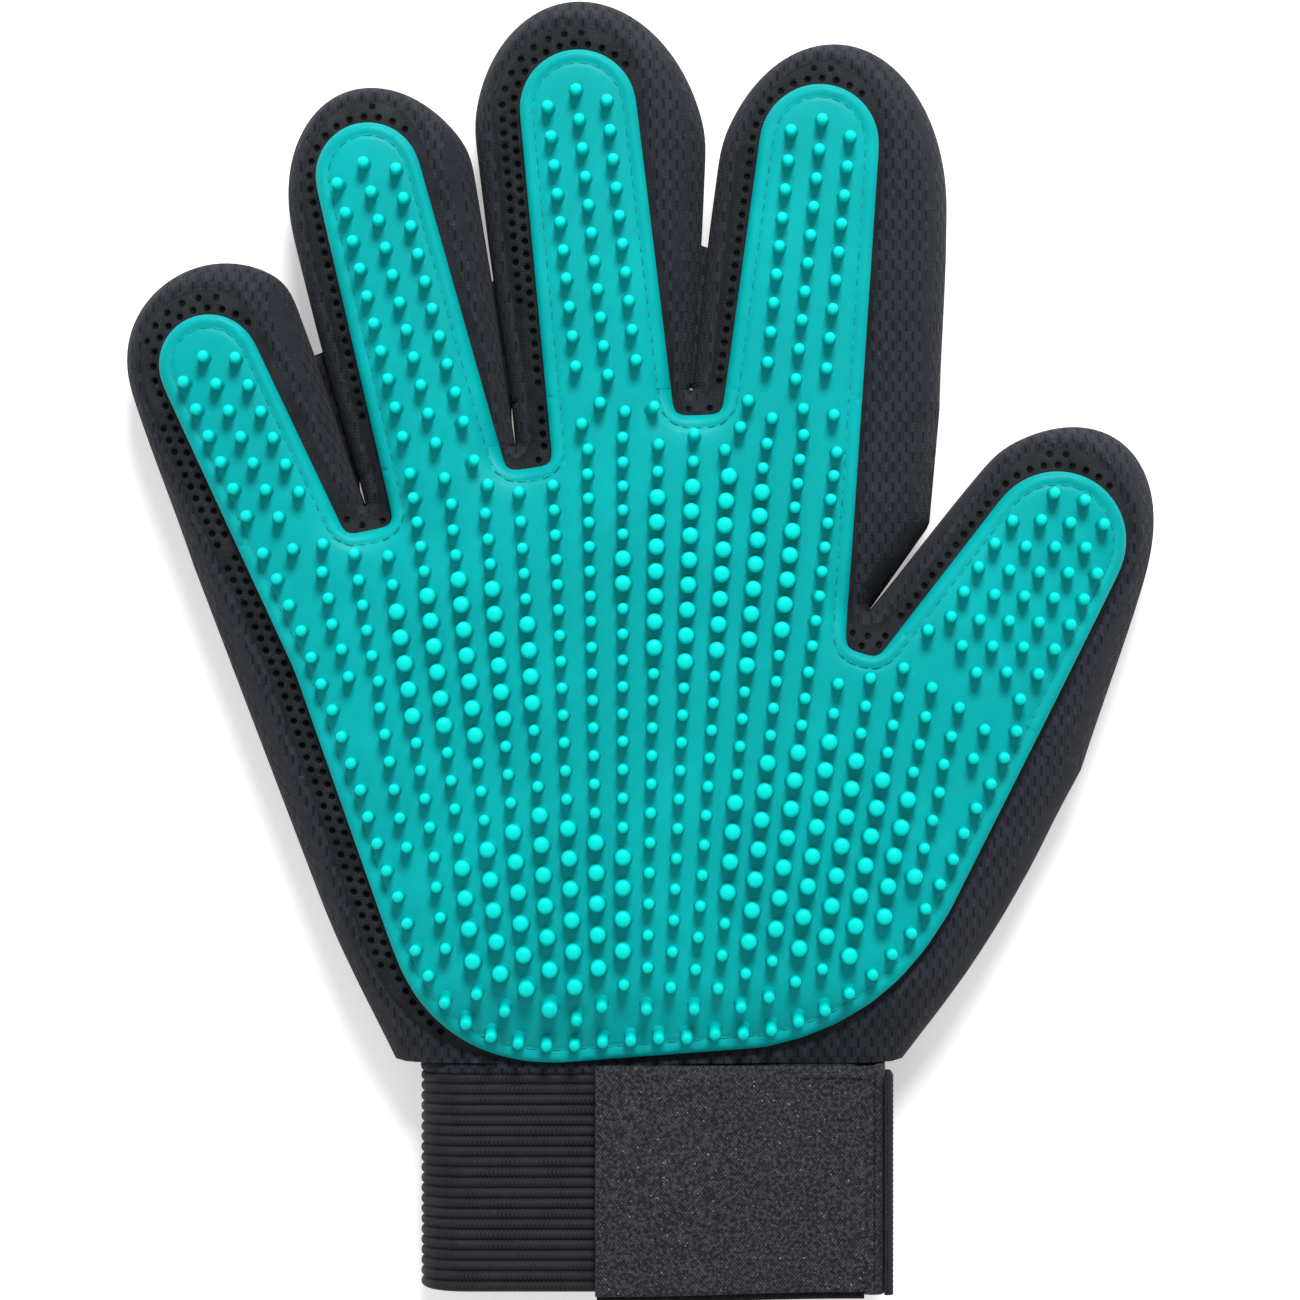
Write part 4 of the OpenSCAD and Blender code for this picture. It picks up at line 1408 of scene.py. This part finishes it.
def slab(name, xs, ys, top, bottom, material):
    """A thin block over a grid, with heights given by two functions of the place."""
    gx, gy = np.meshgrid(xs, ys, indexing="ij")
    rows, columns = gx.shape
    upper = np.stack([gx, gy, top(gx, gy)], -1).reshape(-1, 3)
    lower = np.stack([gx, gy, bottom(gx, gy)], -1).reshape(-1, 3)
    count = rows * columns
    faces = []
    for i in range(rows - 1):
        for j in range(columns - 1):
            a, b = i * columns + j, (i + 1) * columns + j
            faces.append((a, b, b + 1, a + 1))
            faces.append((a + count, a + 1 + count, b + 1 + count, b + count))
    rim = [i * columns for i in range(rows)] + [(rows - 1) * columns + j for j in range(1, columns)]
    rim += [i * columns + columns - 1 for i in range(rows - 2, -1, -1)]
    rim += list(range(columns - 2, 0, -1))
    for a, b in zip(rim, rim[1:] + rim[:1]):
        faces.append((b, a, a + count, b + count))
    return make_object(name, np.vstack([upper, lower]), faces, [material])


def edged(low, high, step, edge):
    """Even places from low to high, closer together in the last bit at both ends."""
    middle = np.linspace(low + edge, high - edge, int((high - low) / step) + 1)
    return np.concatenate([[low, low + edge * 0.12, low + edge * 0.4], middle,
                           [high - edge * 0.4, high - edge * 0.12, high]])


def edge_drop(place, low, high, edge, deep):
    return deep * (1 - quarter_round(np.minimum(place - low, high - place), edge))


TAPE_LOW = FLAP_LOW[1] + UNDER_SHOWS
TAPE_TOP = FLAP_HIGH[2]
TAPE_THICK = FLAP_HIGH[2] - FLAP_LOW[2]


def nap(x, y, size=0.05):
    """Small uneven ridges of a napped weave."""
    fine = np.sin(x * 9.7 + 1.3 * np.sin(y * 7.1)) * np.sin(y * 8.3 + 1.7 * np.sin(x * 5.9))
    return size * (fine + 0.6 * np.sin(x * 4.1 + y * 3.3) * np.sin(y * 5.2 - x * 2.7))


def sag(x, y):
    """Slow waves of a soft tape lying on its patch."""
    return 0.14 * np.sin(x * 0.16 + 0.6) + 0.1 * np.sin(y * 0.19 + x * 0.05)


def tape_top(x, y):
    selvage = (y < TAPE_LOW + LOW_SELVAGE) | (y > FLAP_HIGH[1] - TOP_SELVAGE)
    cords = 0.09 * np.cos(2 * math.pi * y / 0.85)
    height = TAPE_TOP - 0.15 + sag(x, y) + np.where(selvage, cords - 0.1, nap(x, y))
    height = height - edge_drop(y, TAPE_LOW, FLAP_HIGH[1], 0.5, 0.55)
    return height - edge_drop(x, FLAP_LOW[0], HINGE_X + 50, 0.45, 0.5)


def tape_bottom(x, y):
    height = TAPE_TOP - TAPE_THICK + 0.05 + sag(x, y)
    height = height + edge_drop(y, TAPE_LOW, FLAP_HIGH[1], 0.5, 0.3)
    return height + edge_drop(x, FLAP_LOW[0], HINGE_X + 50, 0.45, 0.3)


def follow_closure(obj):
    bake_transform(obj)


def hang(obj):
    """Lets the free corner hang a little lower, along Y."""
    for v in obj.data.vertices:
        from_hinge = smoothstep((HINGE_X - v.co.x / MM) / (HINGE_X - FLAP_LOW[0]))
        low = smoothstep((FLAP_HIGH[1] - v.co.y / MM) / (FLAP_HIGH[1] - FLAP_LOW[1]))
        v.co.y += (0.5 - from_hinge) * low * TILT * MM


tape_xs = np.concatenate([edged(FLAP_LOW[0], HINGE_X + 0.45, 0.42, 0.45)[:-3], [HINGE_X]])
tape_ys = edged(TAPE_LOW, FLAP_HIGH[1], 0.42, 0.5)
tape = slab("tab_tape_flap", tape_xs, tape_ys, tape_top, tape_bottom, TAB_TAPE)
hang(tape)
follow_closure(tape)
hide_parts("tab_flap")


def hook_top(x, y):
    under = tape_bottom(x, np.clip(y, TAPE_LOW + 1, FLAP_HIGH[1] - 1))
    return under - 0.02 - edge_drop(y, FLAP_LOW[1], FLAP_HIGH[1], 0.3, 0.15)


def hook_bottom(x, y):
    return hook_top(x, y) - 0.42 + edge_drop(x, FLAP_LOW[0] + 0.3, HINGE_X + 50, 0.3, 0.15)


hook_xs = np.concatenate([edged(FLAP_LOW[0] + 0.3, HINGE_X + 0.4, 1.0, 0.4)[:-3], [HINGE_X]])
hook_layer = slab("tab_hook_layer", hook_xs, edged(FLAP_LOW[1], FLAP_HIGH[1] - 0.8, 0.8, 0.4),
                  hook_top, hook_bottom, HOOK_TAPE)
hang(hook_layer)
follow_closure(hook_layer)
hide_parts("tab_hooks")


def bent_hook():
    """One hook: a stem that leans over and turns back at its end."""
    line = [(0, 0, 0), (0, 0, 0.45), (0.05, 0, 0.72), (0.22, 0, 0.82), (0.34, 0, 0.7)]
    thick = [0.13, 0.1, 0.085, 0.075, 0.05]
    rings = []
    for k, (place, radius) in enumerate(zip(line, thick)):
        lean = (0.0, 0.1, 0.8, 1.6, 2.4)[k]
        ring = []
        for side in range(5):
            angle = 2 * math.pi * side / 5
            cx, cy = radius * math.cos(angle), radius * math.sin(angle)
            ring.append((place[0] + cx * math.cos(lean), cy, place[2] - cx * math.sin(lean)))
        rings.append(np.array(ring))
    return swept("hook_shape", rings, HOOK_TAPE, closed=False)


hook_shape = bent_hook()
HOOK_PITCH = 1.25
HOOK_INSET, HOOK_CLEAR = 0.6, 0.4  # room at the low and the high edge of the hook layer
hook_ys = np.arange(HOOK_LOW[1] + HOOK_INSET, HOOK_HIGH[1] - HOOK_CLEAR, HOOK_PITCH)
hook_places = np.array([
    (x, y) for k, y in enumerate(hook_ys)
    for x in np.arange(HOOK_LOW[0] + HOOK_INSET * (1 + k % 2), HOOK_HIGH[0] - HOOK_CLEAR, HOOK_PITCH)])
hook_depth = hook_bottom(hook_places[:, 0], hook_places[:, 1]) + 0.05
hook_aheads = [(0, 1 if k % 2 else -1, 0) for k in range(len(hook_places))]
hooks = scatter("tab_hook_rows", hook_shape, np.column_stack([hook_places, hook_depth]),
                [(0, 0, -1)] * len(hook_places), hook_aheads,
                [(0.75, 0.75, 0.62)] * len(hook_places), (1, 1, 1), HOOK_TAPE)
hang(hooks)
follow_closure(hooks)


def patch_top(x, y):
    height = PATCH_HIGH[2] - 0.1 + nap(x * 1.3, y * 1.3, 0.09)
    height = height - edge_drop(x, PATCH_LOW[0], PATCH_HIGH[0], 0.9, 0.55)
    return height - edge_drop(y, CUFF_END_Y, CUFF_TOP_Y, 0.9, 0.5)


patch = slab("loop_patch_pile", edged(PATCH_LOW[0], PATCH_HIGH[0], 0.7, 0.9),
             edged(CUFF_END_Y, CUFF_TOP_Y, 0.7, 0.9), patch_top,
             lambda x, y: np.full(x.shape, PATCH_LOW[2] - 0.15), LOOP_TAPE)
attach(patch, "palm")
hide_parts("loop_patch")

SEWN_OUTER = [(0.0, 0.0), (1.2, -0.05), (2.4, -0.35), (3.2, -1.2), (3.7, -2.8), (3.95, -5.2), (4.05, -8.2)]
SEWN_INNER = [(3.0, -8.6), (2.75, -6.6), (2.4, -4.6), (1.9, -2.8), (1.2, -1.65), (0.6, -1.3), (0.0, -1.25)]
sewn_rings = []
for y in edged(TAPE_LOW, SEWN_HIGH[1], 0.9, 0.5):
    drop = edge_drop(np.array([y]), TAPE_LOW, SEWN_HIGH[1], 0.5, 0.5)[0]
    lift = tape_top(np.array([HINGE_X]), np.array([y]))[0] - TAPE_TOP
    outer = [(HINGE_X + x, y, TAPE_TOP + z + lift * math.exp(-x)) for x, z in SEWN_OUTER]
    inner = [(HINGE_X + x, y, TAPE_TOP + z + drop * 0.4) for x, z in SEWN_INNER]
    sewn_rings.append(np.array(outer + inner))
sewn = swept("tab_sewn_edge", sewn_rings, TAB_TAPE, closed=False)
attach(sewn, "palm")
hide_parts("tab_sewn_end")

FOLD = [(-0.35, 0.1), (0.35, 0.14), (0.95, -0.35), (1.15, -1.4), (1.2, -6.0), (1.15, -10.3), (0.85, -11.3),
        (0.3, -11.2), (0.1, -10.2), (0.18, -6.0), (0.1, -2.0), (-0.2, -0.9), (-0.5, -0.4)]
fold_rings = []
for k, y in enumerate(edged(BINDING_LOW[1], BINDING_HIGH[1], 0.48, 0.4)):
    swell = 0.06 * (k % 2)
    fold_rings.append(np.array([(BINDING_LOW[0] + x * (1 + swell), y, BINDING_HIGH[2] + z) for x, z in FOLD]))
fold = swept("cuff_edge_binding", fold_rings, ELASTIC, closed=False)
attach(fold, "palm")
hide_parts("cuff_binding")

STITCH_LOW, STITCH_HIGH = [np.array(corner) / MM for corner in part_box("tab_stitching")]
tab_thread_shape = lathed("tab_thread_shape", STITCH_PROFILE, 6, BLACK_THREAD)


def stitch_row(name, rows, along):
    """Black stitches that lie along one direction."""
    count = len(rows)
    return scatter(name, tab_thread_shape, rows, [along] * count, [(0, 0, 1)] * count,
                   [(0.9, 0.9, 1.8)] * count, (MM, MM, MM), BLACK_THREAD)


side_ys = np.arange(TAPE_LOW + LOW_SELVAGE, STITCH_HIGH[1], STITCH_PITCH)
tab_rows = np.array([(STITCH_LOW[0] + 0.15, y, TAPE_TOP - 0.12) for y in side_ys])
tab_stitches = stitch_row("tab_stitch_row", tab_rows, (0, 1, 0))
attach(tab_stitches, "palm")
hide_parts("tab_stitching")

top_row = np.array([(x, FLAP_HIGH[1] - 2.1) for x in np.arange(HINGE_X - 10.5, HINGE_X - 1.0, STITCH_PITCH)])
top_rows = np.column_stack([top_row, tape_top(top_row[:, 0], top_row[:, 1]) + 0.03])
top_stitches = stitch_row("tab_top_stitches", top_rows, (1, 0, 0))
hang(top_stitches)
follow_closure(top_stitches)

for shape in (nub_shape, stitch_shape, hook_shape, tab_thread_shape):
    bpy.data.objects.remove(shape)

# ---- floor, light and camera ----


def floor_finish():
    f = Finish("studio_floor", Roughness=0.9, Specular_IOR_Level=0.1)
    grain = f.noise(f.object_place(), 40.0)
    f.into("Base Color", f.blend_colours(grain, (0.93, 0.93, 0.93, 1), (0.95, 0.95, 0.95, 1)))
    f.shader.inputs["Emission Color"].default_value = (1, 1, 1, 1)
    f.shader.inputs["Emission Strength"].default_value = 0.4
    return f.material


FLOOR_HALF, FLOOR_Z = 2000, -0.2
floor_corners = [(x * FLOOR_HALF, y * FLOOR_HALF, FLOOR_Z) for x, y in ((-1, -1), (1, -1), (1, 1), (-1, 1))]
floor = make_object("studio_floor", floor_corners, [(0, 1, 2, 3)], [floor_finish()], smooth=False)


def area_light(name, place, size, power, aim=(0, 0, 0)):
    light = bpy.data.lights.new(name, "AREA")
    light.shape, light.size, light.energy = "DISK", size, power
    obj = bpy.data.objects.new(name, light)
    obj.location = place
    obj.rotation_euler = (Vector(aim) - Vector(place)).to_track_quat("-Z", "Y").to_euler()
    bpy.context.scene.collection.objects.link(obj)


area_light("key_light", (0.12, 0.95, 0.95), 0.45, 19)
area_light("fill_light", (-0.6, -0.9, 1.1), 1.0, 2.5)
world = bpy.data.worlds.new("studio")
world.use_nodes = True
world.node_tree.nodes["Background"].inputs["Color"].default_value = (1, 1, 1, 1)
world.node_tree.nodes["Background"].inputs["Strength"].default_value = 0.42
bpy.context.scene.world = world
bpy.context.scene.view_settings.view_transform = "Standard"

FRAME_WIDTH = 0.234
camera = bpy.data.objects.new("camera", bpy.data.cameras.new("camera"))
camera.data.lens = 110
camera.location = (0.0018, 0.0, 0.012 + FRAME_WIDTH * camera.data.lens / camera.data.sensor_width)
bpy.context.scene.collection.objects.link(camera)
bpy.context.scene.camera = camera
